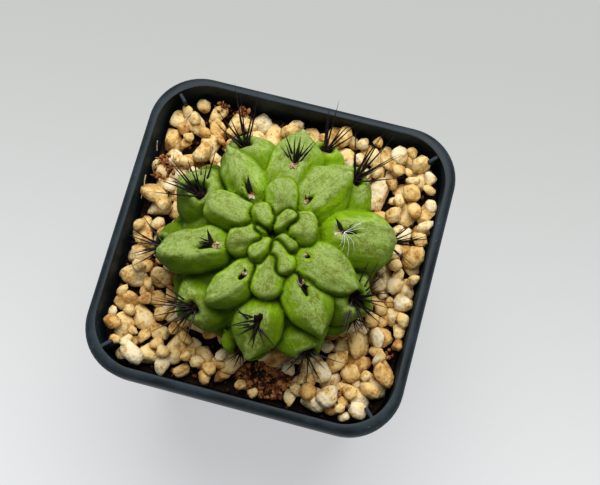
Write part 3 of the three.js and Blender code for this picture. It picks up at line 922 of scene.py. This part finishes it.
def core_and_root():
    """The core that the tubercles stand on, with the neck and root below it, as a lathe."""
    polar = np.radians(np.arange(10, 141, 10))
    drop = np.where(np.cos(polar) > 0, TOP_RISE - CROWN_INSET, BOTTOM_DROP)
    core = zip((EQUATOR_RADIUS - CORE_INSET) * np.sin(polar), EQUATOR_Z + drop * np.cos(polar))
    angle = round_angles(CORE_SIDES)
    rings = []
    for reach, z in reversed([*core, *ROOT_PROFILE]):
        x, y = AXIS_X + reach * np.cos(angle), AXIS_Y + reach * np.sin(angle)
        rings.append(np.column_stack([x, y, np.full(CORE_SIDES, z)]))
    return loft(rings)


class Net:
    """The edges of a mesh, over which values are evened out."""

    def __init__(self, mesh):
        edges = read(mesh.edges, "vertices", 2, np.int32)
        self.ends = edges.ravel()
        self.other_ends = edges[:, ::-1].ravel()
        self.degree = np.bincount(self.ends, minlength=len(mesh.vertices))[:, None]

    def relax(self, values, times, share):
        for _ in range(times):
            total = [np.bincount(self.ends, weights=column[self.other_ends]) for column in values.T]
            values = values + share * (np.stack(total, 1) / self.degree - values)
        return values


def nearest_lobes(points, shells):
    """Each point's own lobe, how near the next is, how squarely the two face, and if they share a rib."""
    reach = NEAR_LOBE
    gaps = np.full((len(points), len(shells)), reach)
    facings = np.zeros((len(points), len(shells), 3))
    for number, (vertices, faces) in enumerate(shells):
        low, high = vertices.min(axis=0) - reach, vertices.max(axis=0) + reach
        tree = BVHTree.FromPolygons(vertices.tolist(), faces)
        for i in np.flatnonzero(np.all((points > low) & (points < high), axis=1)):
            place, normal, _, distance = tree.find_nearest(points[i], reach)
            if place is not None:
                gaps[i, number] = distance
                facings[i, number] = normal
    rows = np.arange(len(points))
    own, other = np.argsort(gaps, axis=1)[:, :2].T
    facing = -np.sum(facings[rows, own] * facings[rows, other], axis=1)
    return own, gaps[rows, other], facing, own // TIERS == other // TIERS


def areole_slits(points, lobes):
    """How deep the notch of an areole is at each point: a slit along the crest that narrows outwards."""
    depths = np.zeros(len(points))
    for lobe in lobes:
        place, normal, along, side = lobe.areole()
        offset = points - place
        ahead = offset @ along
        aside = offset @ side
        is_near = (np.abs(ahead) < 7) & (np.abs(aside) < 5) & (np.abs(offset @ normal) < 4)
        felt = lobe.fan.felt
        length, half, depth = (0.5 + 1.5 * felt, 0.5, 0.7 + 0.5 * felt) if lobe.is_young else OLD_SLIT
        half = half * np.clip(1 - 0.22 * (ahead - 0.8), 0.4, 1.4)
        slit = depth * np.exp(-((ahead - 0.8 * felt) / length) ** 4 - np.abs(aside / half) ** 2.4)
        depths = np.where(is_near, np.maximum(depths, slit), depths)
    return depths


def envelope_share(points):
    """How far out a point lies on its way from the plant's middle to the even form round it."""
    rise = points[:, 2] - EQUATOR_Z
    level = from_axis(*points.T[:2]) / EQUATOR_RADIUS
    return np.hypot(level, rise / np.where(rise > 0, TOP_RISE, BOTTOM_DROP))


def crown_share(points):
    """How far a point belongs to the tightly pressed crown, from 0 to 1."""
    return smooth_step(CROWN_EDGE, CROWN_HEART, from_axis(*points.T[:2]))


def lit_side(points):
    """How far a point lies on the side painted as if lit, where the ribs run together in open valleys, from 0
    to 1.
    """
    bearing = np.arctan2(points[:, 1] - AXIS_Y, points[:, 0] - AXIS_X) - math.radians(BRIGHT_BEARING)
    return smooth_step(0.1, 0.8, np.cos(bearing)) * smooth_step(7, CROWN_HEART, from_axis(*points.T[:2]))


def make_body(lobes, bearing_lobes):
    shells = [lobe.shell() for lobe in lobes]
    vertices, faces = core_and_root()
    for points, pattern in shells:
        faces += [tuple(i + len(vertices) for i in face) for face in pattern]
        vertices = np.concatenate([vertices, points])
    body = link("cactus_skin", new_mesh("cactus_skin", vertices, faces))
    remesh = body.modifiers.new("union", "REMESH")
    remesh.mode = "VOXEL"
    remesh.voxel_size = VOXEL * MM
    apply_modifiers(body)
    mesh = body.data
    net = Net(mesh)
    points = net.relax(vertices_of(mesh), 3, 0.5)
    own, gap, facing, is_same_rib = nearest_lobes(points, shells)
    move_vertices(mesh, points)
    normals = normals_of(mesh)
    pressed = crown_share(points)
    facing = facing + 0.6 * pressed
    apart = (1 - 0.6 * lit_side(points)) * np.where(is_same_rib, 0.6, 1)
    cleft = np.exp(-(gap / CLEFT_WIDTH) ** 2) * smooth_step(-0.85, 0.1, facing) * apart
    points = points - normals * (cleft * (CLEFT_DEPTH + CLEFT_DEEPER_IN_CROWN * pressed))[:, None]
    slit = areole_slits(points, bearing_lobes)
    points = net.relax(points - normals * slit[:, None], 1, 0.35)
    move_vertices(mesh, points)
    normals = normals_of(mesh)
    marks = skin_marks(points, normals, lobes, own, gap, facing, net)
    marks["deep_slit_dark"] = smooth_step(0.45, 1.3, slit)
    uneven = 0.07 * noise(points, 2.1, 3) + 0.035 * noise(points, 1, 4)
    keel = KEEL_HEIGHT * marks["keel"] + 0.05 * noise(marks["lie"] / np.array([3.5, 0.55, 1]), 1, 8)
    move_vertices(mesh, points + normals * (uneven + keel)[:, None])
    set_attributes(mesh, marks)
    mesh.shade_smooth()
    finish_piece(body, skin_material(), "skin", "cactus_body")
    return mesh


def skin_marks(points, normals, lobes, own, gap, facing, net):
    """Each vertex's place on its tubercle, from which the skin's colours follow."""
    values = np.zeros((len(points), 8))
    bearing = math.radians(PAINTED_LIGHT_BEARING)
    painted_light_side = np.array([math.cos(bearing), math.sin(bearing), 0])
    for number, lobe in enumerate(lobes):
        here = own == number
        t, aside, height = lobe.local(points[here])
        upward = lobe.directions(t)[0]
        level = np.sum(normals[here] * upward, axis=1)
        leaning = (normals[here] - upward) @ painted_light_side
        length = np.linalg.norm(lobe.middle(np.array(1.0)) - lobe.middle(np.array(0.0)))
        age, pattern = np.full_like(t, lobe.age), np.full_like(t, number * 31)
        values[here] = np.column_stack([t, height, level, age, leaning, t * length, aside, pattern])
    share, height, level, age, leaning = net.relax(values[:, :5], 4, 0.5).T
    lit = lit_side(points)
    pressed = crown_share(points)
    near = smooth_step(1.5 - 0.8 * pressed, 0.2, gap)
    # Painted shade where two lobes face each other: a narrow dark line in the creases and a broader band
    # beside it, both less on the lit side.
    touching = smooth_step(-0.85, 0.0, facing) * (1 - 0.6 * lit)
    crease_shade = np.exp(-(gap / (0.26 - 0.06 * lit + 0.06 * pressed)) ** 2) * touching
    shaded = smooth_step(1.9 - 1.1 * pressed, 0.1, gap) * touching * (1 - 0.3 * pressed)
    # Painted light: how far each normal turns towards the side the light is painted from.
    toward_painted_light = normals @ painted_light_side
    # Painted shade on old lobes' sides turned from the light.
    old_away_shade = 0.8 * smooth_step(-0.35, -0.75, toward_painted_light) * smooth_step(0.5, 0.85, age)
    light_facing = smooth_step(-0.32, 0.3, toward_painted_light)
    # Painted shade: how deep a point lies inside the plant's even form, less on the lit side and towards the
    # light.
    sunk_shade = smooth_step(0.12, 0.28, 1 - envelope_share(points)) * (1 - 0.8 * lit) * (0.75 - 0.35 * light_facing)
    crest = smooth_step(0.76, 0.98, level) * smooth_step(0.1, 0.5, height) * (1 - sunk_shade)
    # The band along each crest's edge, painted pale as a painted highlight on the side facing the light.
    rim = np.exp(-((level - 0.8) / 0.1) ** 2) * smooth_step(0.05, 0.3, share)
    # How deep each point lies below its surroundings, which sets the painted shade in the hollows.
    hollow_shade = np.sum((net.relax(points, 40, 0.9) - points) * normals, axis=1)
    chin = smooth_step(0.82, 1.0, share) * smooth_step(-0.1, 0.6, height)
    keel = np.exp(-(values[:, 6] / 0.6) ** 2) * smooth_step(0.42, 0.8, share) * smooth_step(0.3, 0.8, height)
    keel = net.relax((keel * (age > 0.2))[:, None], 3, 0.5)[:, 0]
    return {
        "crest": crest * (1 - 0.5 * near),
        "light_facing": np.maximum(light_facing, 0.85 * pressed * crest),
        "rim": rim * (1 - near) * (1 - sunk_shade), "crease_shade": crease_shade, "sunk_shade": sunk_shade, "shaded": shaded,
        # Painted shade where a lobe's side leans from the light.
        "away_shade": np.maximum(smooth_step(-0.04, -0.62, leaning), old_away_shade) * (1 - 0.85 * lit),
        "hollow_shade": smooth_step(0.05, 0.8, hollow_shade), "lit": np.maximum(lit, 0.95 * pressed), "keel": keel,
        "chin": chin * (1 - crease_shade), "lie": values[:, 5:]}


# Spines and wool

@dataclass
class Fan:
    """How the spines of one areole spread: bearings and rises in degrees, lengths and radii in millimetres.

    Felt is how much of the areole its black wool fills. A thorn is one thick spine with its own bearing.
    An areole that is still pale shows cream wool at its inner end."""

    bearing: float
    spread: float
    rise: float
    count: int
    length: float
    thick: float = 0.2
    felt: float = 1
    thorn: float = 0
    is_pale: bool = True

    def spines(self, random):
        for i in range(self.count):
            share = (i + 0.5) / self.count * 2 - 1
            bearing = math.radians(self.bearing + self.spread * share + random.uniform(-9, 9))
            rise = math.radians(self.rise * (1.25 - 0.85 * abs(share)) + random.uniform(-9, 12))
            direction = np.array([
                math.cos(bearing) * math.cos(rise), math.sin(bearing) * math.cos(rise), math.sin(rise)])
            yield direction, self.length * random.uniform(0.62, 1.12) * (1 - 0.12 * abs(share))


# The fans, in the order of the model's own spine nodes.
FANS = (
    Fan(40, 40, 34, 6, 4.6, 0.2, 1.5, thorn=128),
    Fan(15, 50, 18, 9, 11.5),
    Fan(12, 45, 14, 6, 6, 0.17),
    Fan(100, 44, 44, 3, 2.8, 0.24, 0.5),
    Fan(64, 50, 22, 10, 12.5, 0.22),
    Fan(52, 45, 16, 6, 6, 0.17),
    Fan(94, 46, 32, 12, 7.6, 0.23, 1.5),
    Fan(76, 36, 20, 8, 11, 0.2),
    Fan(80, 45, 16, 6, 6, 0.17),
    Fan(148, 30, 40, 6, 3.6, 0.2, 1.2, thorn=118),
    Fan(124, 48, 24, 9, 13.5, 0.22),
    Fan(120, 45, 16, 6, 6, 0.17),
    Fan(138, 60, 24, 12, 12.5, 0.22),
    Fan(156, 48, 18, 7, 7, 0.18),
    Fan(182, 20, 34, 5, 4.8, 0.2, 1.3, thorn=130),
    Fan(195, 50, 22, 9, 10.5, 0.2),
    Fan(190, 45, 14, 6, 6, 0.17),
    Fan(112, 10, 50, 1, 2.2, 0.4, 0.4),
    Fan(222, 62, 22, 13, 12.5, 0.21),
    Fan(228, 45, 16, 6, 6, 0.17),
    Fan(240, 100, 28, 10, 8.4, 0.26, 1.6, is_pale=False),
    Fan(262, 40, 18, 6, 5, 0.18),
    Fan(264, 45, 14, 5, 5, 0.17),
    Fan(0, 60, 42, 5, 3.2, 0.2, thorn=130),
    Fan(282, 62, 20, 11, 10, 0.2),
    Fan(300, 45, 14, 6, 6, 0.17),
    Fan(350, 10, 30, 1, 1, 0.18, 0.2),
    Fan(346, 92, 24, 16, 12, 0.21),
    Fan(318, 45, 16, 6, 6, 0.17),
)
HIGHEST = 89.5

# The long pale hairs of one areole: bearing and length.
PALE_HAIRS = (
    (20, 4.6), (34, 5.6), (48, 4.4), (-78, 4.4), (-60, 5.8), (-95, 3.6), (-45, 4.8), (8, 3.8))

# A spine is thickest just above its root.
SPINE_TAPER = (0.9, 1.1, 1.06, 0.95, 0.8, 0.62, 0.43, 0.23, 0.03)
SPINE_SIDES = 7
LEAST_SUNK = 0.3
THORN_LENGTH = 4.6
THORN_THICKNESS = 0.5

# Wool: the radii of a hair from root to tip, how dark a tuft is and how many hairs it has.
WOOL_TAPER = np.array([0.06, 0.055, 0.045, 0.015])
OLD_TONE = 0.9
OLD_HAIRS = 130
BLACK_TONE = 0.95
BLACK_HAIRS = 150
PAD_TONES = (0, 0.03, 0.1, 0.3, 0.5)
PAD_HAIRS = 45


def make_spine(direction, reach, thick, root, random):
    """A horny spine, curved a little: its path, its shape and each vertex's share of its length."""
    steps = np.linspace(0, 1, len(SPINE_TAPER))
    bend = unit(np.cross(direction, random.normal(size=3))) * random.uniform(0.02, 0.13) + UP * 0.1
    path = root + reach * (steps[:, None] * direction + steps[:, None] ** 2 * bend)
    path[:, 2] = np.minimum(path[:, 2], HIGHEST - 0.4 * (1 - steps))
    radii = thick * np.array(SPINE_TAPER) * random.uniform(0.8, 1.15)
    return path, tube(path, radii, SPINE_SIDES), np.concatenate([np.repeat(steps, SPINE_SIDES), [0, 1]])


def depth_inside(path, skin_tree, skin_normals):
    """How deep the outer half of a spine runs in the skin."""
    depths = []
    for point in path[len(path) // 2:]:
        nearest, index, _ = skin_tree.find(point)
        depths.append((np.array(nearest) - point) @ skin_normals[index])
    return max(depths)


def make_cluster(name, lobe, skin_tree, skin_normals, random):
    """The wool of one areole and the spines that leave it."""
    fan = lobe.fan
    place, *directions = lobe.areole()
    normal, along, side = directions
    seat = place - normal * (YOUNG_SEAT if lobe.is_young else OLD_SEAT)
    grown = []
    for direction, reach in fan.spines(random):
        root = seat + along * random.uniform(-0.6, 1) + side * random.uniform(-0.4, 0.4)
        path, shape, share = make_spine(direction, reach, fan.thick, root, random)
        grown.append((depth_inside(path, skin_tree, skin_normals), shape, share))
    deepest = max(min(depth for depth, *_ in grown), LEAST_SUNK)
    spines = Bundle()
    for depth, shape, share in grown:
        if depth <= deepest:
            spines.add(shape, along=share)
    if fan.thorn:
        bearing = math.radians(fan.thorn)
        direction = unit(np.array([math.cos(bearing), math.sin(bearing), 1.1]))
        _, shape, share = make_spine(direction, THORN_LENGTH, THORN_THICKNESS, seat, random)
        spines.add(shape, along=share)
    spines.finish(name + "_fine", MATERIALS["spine"], "spine", name)
    tuft = Bundle()
    if lobe.is_young:
        black = (0.25 + 1.7 * fan.felt, 0.3 + 0.3 * fan.felt, 0.5)
        outer = seat + along * 1.1 * fan.felt + normal * 0.3
        add_wool(tuft, outer, directions, black, BLACK_TONE, BLACK_HAIRS, random)
        for tone in PAD_TONES:
            aside = side * random.uniform(-0.45, 0.45) * fan.felt
            inner = seat - along * (random.uniform(0.2, 1) * fan.felt + 0.1) + aside + normal * 0.6
            pad = (0.16 + 0.3 * fan.felt, 0.12 + 0.18 * fan.felt, 0.14)
            add_wool(tuft, inner, directions, pad, tone if fan.is_pale else OLD_TONE, PAD_HAIRS, random)
    else:
        add_wool(tuft, seat + along * 0.3, directions, (1.5, 1, 0.8), OLD_TONE, OLD_HAIRS, random)
    tuft.finish(name.replace("spines", "wool"), MATERIALS["wool"], "spine")


def add_wool(tuft, middle, directions, size, tone, count, random):
    """Short curled hairs on a low felted mound."""
    normal, along, side = directions
    long, wide, tall = size
    ball_points, faces = ball(2)
    lump = ball_points * np.array(size) * (1 + 0.4 * noise(ball_points + middle, 0.5, 5))[:, None]
    place = middle + lump[:, :1] * along + lump[:, 1:2] * side + lump[:, 2:] * normal
    is_pale = tone < 0.5
    uneven = is_pale * (0.35 * smooth_step(-0.2, 1, ball_points[:, 0]) + 0.2 * noise(place, 0.3, 9))
    tuft.add((place, faces), tone=np.clip(tone + uneven, 0, 1))
    steps = np.linspace(0, 1, 4)[:, None]
    for _ in range(count):
        spread = random.normal(size=2) * 0.6
        direction = unit(normal + spread[0] * along + spread[1] * side)
        share = random.uniform(-1, 1)
        aside = random.uniform(-0.9, 0.9) * wide * math.sqrt(1 - share * share)
        root = middle + along * share * long * 0.9 + side * aside + normal * 0.4 * tall
        reach = (0.3 + 0.5 * tall) * random.uniform(0.6, 1.2)
        curl = unit(random.normal(size=3)) * 0.5
        hair = tube(root + reach * (steps * direction + steps ** 2 * curl), WOOL_TAPER, 3)
        shift = 0.3 * is_pale * max(0, share)
        tuft.add(hair, tone=np.clip(tone + shift + random.uniform(-0.14, 0.14), 0, 1))


def make_hairs(lobe, random):
    """The long white hairs that trail from one young areole."""
    place, normal, along, side = lobe.areole()
    hairs = Bundle()
    steps = np.linspace(0, 1, 14)
    for bearing, reach in PALE_HAIRS:
        angle = math.radians(bearing + random.uniform(-8, 8))
        direction = np.array([math.cos(angle), math.sin(angle), 0.12])
        across = np.cross(direction, UP)
        wave = np.sin(steps * random.uniform(4, 7) + random.uniform(0, 6)) * 0.35 * steps
        path = place + normal * 0.35 + reach * steps[:, None] * direction + wave[:, None] * across
        fall = smooth_step(0, 1, steps) * reach * 0.16
        path = path + normal * (0.7 * np.sin(steps * math.pi) - fall)[:, None]
        hairs.add(tube(path, np.linspace(0.05, 0.025, len(steps)), 4))
    hairs.finish("pale_hairs", hair_material(), "spine")


# Filling

GRAVEL_HALF = inner_half(GRAVEL_TOP) - GAP

# The model's pebbles: tries, largest, smallest, share of the tries in which they shrink, and its power.
MODEL_PEBBLES = (6000, 3.2, 1.7, 0.625, 0.6)

# The scene's own pebbles: tries, largest, how much smaller the last try is, and the power of that loss.
FILLING_RULE = (5200, 2.7, 1.35, 0.6)
HEAP_RULE = (6000, 3.1, 1.8, 0.7)
ODD_HEAP_CHANCE = 0.04


def is_inside_wall(x, y, clearance):
    edge = GRAVEL_HALF - clearance
    corner = INNER_CORNER - clearance
    over_x = max(0, abs(x) - (edge - corner))
    over_y = max(0, abs(y) - (edge - corner))
    return math.hypot(over_x, over_y) <= corner


def patch_reach(x, y, clearance=0):
    """How far a place lies from the middle of the bare patch, as a share of the way to its edge."""
    across = (x - PATCH_X) / (PATCH_HALF_LENGTH + clearance)
    return np.hypot(across, (y - PATCH_Y) / (PATCH_HALF_WIDTH + clearance))


def model_pebbles():
    """The pebbles of the model's own gravel, drawn again from the same stream."""
    random = random_stream(SEEDS["model pebbles"])
    tries, largest, smallest, shrink_over, shrink_power = MODEL_PEBBLES
    places = []
    for i in range(tries):
        size = largest + (smallest - largest) * min(1, i / tries / shrink_over) ** shrink_power
        x, y, long, yaw, roll, tall = (next(random) for _ in range(6))
        x = -GRAVEL_HALF + 2 * GRAVEL_HALF * x
        y = -GRAVEL_HALF + 2 * GRAVEL_HALF * y
        is_clear = is_inside_wall(x, y, size * 0.95) and patch_reach(x, y, size * 0.7) >= 1
        if is_clear and from_axis(x, y) - size * 0.5 >= NECK_CLEARANCE and all(
                math.hypot(other[0] - x, other[1] - y) >= 0.86 * (other[3] + size) for other in places):
            places.append((x, y, GRAVEL_TOP + 0.35, size, 1 + 0.35 * long, math.pi * yaw, 0.75 + 0.3 * tall))
    return places


def rest_height(x, y, size, spots, closeness=0.9):
    """How high a pebble's middle comes to rest on the soil or on its neighbours."""
    gap = np.hypot(spots[:, 0] - x, spots[:, 1] - y)
    reach = closeness * (spots[:, 3] + size)
    touched = gap < reach
    heights = spots[touched, 2] + 0.8 * np.sqrt(reach[touched] ** 2 - gap[touched] ** 2)
    return max([SOIL_TOP + 0.7 * size, *heights])


def settled_pebbles(places, rule, random, rest):
    """Pebbles dropped one by one. Rest gives the height where one stays, or nothing where it can't."""
    tries, largest, lost, power = rule
    spots = [place[:4] for place in places]
    added = []
    for i in range(tries):
        size = largest - lost * (i / tries) ** power
        x, y = random.uniform(-GRAVEL_HALF, GRAVEL_HALF, 2)
        height = rest(x, y, size, spots)
        if height:
            spots.append((x, y, height, size))
            long, yaw, tall = random.uniform(1, 1.3), random.uniform(0, np.pi), random.uniform(0.75, 1)
            added.append((x, y, height, size, long, yaw, tall))
    return added


def filling_pebbles(places, body_tree, random):
    """Smaller pebbles that settle between and on the first ones."""
    def rest(x, y, size, spots):
        if not is_inside_wall(x, y, size * 0.9) or patch_reach(x, y, size * 0.4) < 1:
            return None
        by_wall = not is_inside_wall(x, y, size * 0.9 + BANK_WIDTH)
        height = rest_height(x, y, size, np.array(spots)) + BANK_LIFT * by_wall
        is_clear = body_tree.find((x, y, height))[2] >= size * 1.02 and from_axis(x, y) >= NECK_CLEARANCE
        return height if is_clear and height + 0.75 * size <= FILL_TOP + BANK_TOP_RISE * by_wall else None
    return settled_pebbles(places, FILLING_RULE, random, rest)


def heaped_pebbles(places, body_tree, random):
    """Pebbles heaped on the others along the walls, most of them where the gravel lies deepest."""
    def rest(x, y, size, spots):
        is_by_wall = is_inside_wall(x, y, size * 0.8) and not is_inside_wall(x, y, size * 0.8 + HEAP_WIDTH)
        is_chosen = random.uniform() < (1 if x > HEAP_FROM else ODD_HEAP_CHANCE)
        if not is_by_wall or not is_chosen or patch_reach(x, y, size + 1.5) < 1:
            return None
        height = rest_height(x, y, size, np.array(spots), 0.82)
        is_clear = body_tree.find((x, y, height))[2] >= size * 1.1
        return height if is_clear and height + 0.75 * size <= HEAP_TOP else None
    return settled_pebbles(places, HEAP_RULE, random, rest)


def stone(directions, random, sharpness=42):
    """Radii of one rounded, angular stone along unit directions, and how pitted each place is."""
    planes = random.randint(7, 12)
    normals = unit(random.normal(size=(planes, 3)))
    reach = random.uniform(0.6, 1.0, planes)
    facing = np.clip(directions @ normals.T, 0, None) / reach
    radius = (np.sum(facing ** sharpness, axis=1) + (1 / 1.2) ** sharpness) ** (-1 / sharpness)
    offset = random.uniform(0, 50, 3)
    radius = radius * (1 + 0.045 * noise(directions + offset, 0.5) + 0.035 * noise(directions + offset, 0.22))
    pits = np.zeros(len(directions))
    for _ in range(random.randint(4, 12)):
        middle = unit(random.normal(size=3))
        width = random.uniform(0.07, 0.2)
        pits = np.maximum(pits, np.exp(-((1 - directions @ middle) / (width ** 2 / 2)) ** 2))
    return radius * (1 - 0.08 * pits), pits


def make_gravel(body_tree):
    random = np.random.RandomState(SEEDS["gravel"])
    first = model_pebbles()
    second = filling_pebbles(first, body_tree, random)
    second += heaped_pebbles(first + second, body_tree, np.random.RandomState(SEEDS["heap"]))
    material = pebble_material()
    layers = {"gravel_top_a": first[::2], "gravel_top_b": first[1::2], "gravel_fill": second}
    for name, places in layers.items():
        directions, faces = ball(2 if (name == "gravel_fill") else 3)
        bundle = Bundle()
        for x, y, z, size, long, yaw, tall in places:
            radius, pits = stone(directions, random)
            stretch = np.array([size * long, size / long ** 0.5, size * 0.86 * tall])
            scaled = directions * radius[:, None] * 0.93 * stretch
            turns = (yaw, "Z"), *zip(random.uniform(-0.35, 0.35, 2), "XY")
            turn_z, turn_x, turn_y = (Matrix.Rotation(angle, 3, axis) for angle, axis in turns)
            tone = np.clip(random.normal(0.4, 0.23), 0, 1)
            grain = scaled + random.uniform(0, 90, 3)
            placed = scaled @ np.array(turn_z @ turn_x @ turn_y).T + np.array([x, y, z])
            if x > BY_RIGHT_WALL and abs(y) < STRAIGHT_HALF:
                placed[:, 0] += inner_half(z) - WALL_CLEARANCE - placed[:, 0].max()
            bundle.add((placed, faces), tone=tone, pit=pits * 0.6, grain=grain)
        bundle.finish(name, material, "gravel", *(["gravel"] if name == "gravel_top_a" else []))


def make_soil(material):
    """The block of damp mix in the pot, with a crumbly top."""
    low = FLOOR + GAP
    heights = [*(low + rise for rise in SOIL_SIDE_RINGS), SOIL_TOP - SOIL_SHOULDER]
    rings = [pot_ring(inner_half(z) - GAP, z) for z in heights]
    for share in np.linspace(1, SOIL_TOP_MIDDLE, SOIL_TOP_RINGS):
        ring = pot_ring((inner_half(SOIL_TOP) - GAP) * share, SOIL_TOP - CRUST)
        lift = 0.45 * noise(ring, 1.6, 2) + 0.3 * noise(ring, 0.8, 6)
        ring[:, 2] += lift + 1.2 * smooth_step(1.25, 0.7, patch_reach(ring[:, 0], ring[:, 1]))
        rings.append(ring)
    vertices, faces = loft(rings)
    mesh = new_mesh("soil_block", vertices, faces, {"tone": 0.12 + 0.1 * noise(vertices, 2.2, 7)})
    finish_piece(link("soil_block", mesh), material, "soil", "soil")


def make_straws():
    """Straws and pale rootlets that lie on the gravel and against the wall."""
    random = np.random.RandomState(SEEDS["straws"])
    bundle = Bundle()
    steps = np.linspace(0, 1, 9)[:, None]
    for start, end, thick in STRAWS:
        run = np.array(end) - np.array(start)
        bow = 0.12 * np.linalg.norm(run) * unit(random.normal(size=3))
        path = np.array(start) + run * steps + bow * np.sin(steps * random.uniform(3, 5))
        bundle.add(tube(path, thick * (1 - 0.4 * steps[:, 0]), 6))
    bundle.finish("straws", straw_material(), "gravel")


def make_grains(material):
    """Loose granules in the bare patch and in the gaps of the gravel, and crumbs of peat on the pebbles."""
    random = np.random.RandomState(SEEDS["grains"])
    directions, faces = ball(1)
    bundle = Bundle()
    room = inner_half(SOIL_TOP) - GAP

    def uneven_ball(depth, wave):
        return directions * (1 + depth * noise(directions + random.uniform(0, 50, 3), wave))[:, None]

    for i in range(GRAINS):
        is_patch = i < PATCH_GRAINS
        size = random.uniform(0.3, 0.85)
        if is_patch:
            angle, reach = random.uniform(0, 2 * np.pi), math.sqrt(random.uniform(0, 1)) * 1.25
            x = PATCH_X + reach * PATCH_HALF_LENGTH * math.cos(angle)
            y = PATCH_Y + reach * PATCH_HALF_WIDTH * math.sin(angle)
            z = SOIL_TOP + CRUST + random.uniform(0, 1.1)
        else:
            x, y = random.uniform(-room, room, 2)
            z = SOIL_TOP - 0.2 + random.uniform(0, 1.3)
        if is_inside_wall(x, y, size) and from_axis(x, y) >= NECK_CLEARANCE - 1:
            scaled = uneven_ball(0.3, 0.8) * size * random.uniform(0.7, 1.2, 3)
            tone = np.clip(random.normal(0.7 if is_patch else 0.4, 0.3), 0, 1)
            bundle.add((scaled + np.array([x, y, z]), faces), tone=tone)
    for x, y, spread, count in CRUMB_SPOTS:
        for _ in range(count):
            place = np.array([x, y, CRUMB_Z]) + random.normal(size=3) * np.array([0.5, 0.5, 0.4]) * spread
            if is_inside_wall(place[0], place[1], 0.8):
                scaled = uneven_ball(0.35, 0.7) * random.uniform(0.25, 0.6) * random.uniform(0.5, 1.7, 3)
                bundle.add((scaled + place, faces), tone=random.uniform(0.65, 1))
    bundle.finish("soil_grains", material, "soil")


# Setting

CAMERA_TARGET = Vector((5.81, 3.12, 70)) * MM
CAMERA_DISTANCE = 297 * MM
CAMERA_TILT = math.radians(14.9)
CAMERA_AZIMUTH = math.radians(19.64)
CAMERA_ROLL = math.radians(15.5)
CAMERA_LENS = 76.8
LIGHT_PLACE = Vector((-0.03, 0.5, 0.98))
LIGHT_AIM = Vector((0, 0, 0.07))
LAMP_SIZE = 1.05
LAMP_POWER = 13
ROOM_LIGHT = 0.3
ROOM_COLOUR = (0.96, 0.98, 1, 1)
FLOOR_HALF = 1500
FLOOR_GLOW = 0.43


def make_camera():
    """The photo's view: tilted from straight above, turned about the pot and rolled."""
    back = Vector((
        math.sin(CAMERA_TILT) * math.sin(CAMERA_AZIMUTH), -math.sin(CAMERA_TILT) * math.cos(CAMERA_AZIMUTH),
        math.cos(CAMERA_TILT)))
    right = Vector((0, 1, 0)).cross(back).normalized()
    up = back.cross(right)
    cosine, sine = math.cos(CAMERA_ROLL), math.sin(CAMERA_ROLL)
    axes = Matrix((cosine * right + sine * up, cosine * up - sine * right, back)).transposed()
    data = bpy.data.cameras.new("camera")
    data.lens = CAMERA_LENS
    data.clip_start = 0.01
    camera = link("camera", data)
    camera.matrix_world = Matrix.Translation(CAMERA_TARGET + CAMERA_DISTANCE * back) @ axes.to_4x4()
    bpy.context.scene.camera = camera


def make_floor():
    corners = [(-FLOOR_HALF, -FLOOR_HALF, 0), (FLOOR_HALF, -FLOOR_HALF, 0), (FLOOR_HALF, FLOOR_HALF, 0),
               (-FLOOR_HALF, FLOOR_HALF, 0)]
    floor = link("floor", new_mesh("floor", corners, [(0, 1, 2, 3)]))
    floor.data.materials.append(floor_material())
    floor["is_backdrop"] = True


def make_light():
    """Soft light from one large lamp and a pale room."""
    world = bpy.data.worlds.new("studio")
    world.use_nodes = True
    room = world.node_tree.nodes["Background"].inputs
    room["Color"].default_value = ROOM_COLOUR
    room["Strength"].default_value = ROOM_LIGHT
    bpy.context.scene.world = world
    data = bpy.data.lights.new("key", "AREA")
    data.shape = "DISK"
    data.size = LAMP_SIZE
    data.energy = LAMP_POWER
    lamp = link("key", data)
    lamp.location = LIGHT_PLACE
    lamp.rotation_euler = (LIGHT_AIM - LIGHT_PLACE).to_track_quat("-Z", "Y").to_euler()
    bpy.context.scene.view_settings.view_transform = "Standard"
    bpy.context.scene.view_settings.look = "Medium High Contrast"


make_camera()
make_light()
make_floor()
MATERIALS = {"spine": spine_material(), "wool": wool_material()}
make_pot()
lobes = [Lobe(number, *row) for number, row in enumerate(TUBERCLES)]
bearing_lobes = [lobe for lobe in lobes if lobe.areole_share is not None]
for lobe, fan in zip(bearing_lobes, FANS):
    lobe.fan = fan
skin = make_body(lobes, bearing_lobes)
skin_points = vertices_of(skin)
skin_normals = normals_of(skin)
body_tree = kdtree.KDTree(len(skin_points))
for index, point in enumerate(skin_points):
    body_tree.insert(point, index)
body_tree.balance()
spine_random = np.random.RandomState(SEEDS["spines"])
for number, lobe in enumerate(bearing_lobes, start=1):
    make_cluster(f"spines_{number:02d}", lobe, body_tree, skin_normals, spine_random)
make_hairs(bearing_lobes[0], spine_random)
make_gravel(body_tree)
soil_paint = soil_material()
make_soil(soil_paint)
make_grains(soil_paint)
make_straws()

[[list(corner) for corner in box] for box in (cad_box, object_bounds())]
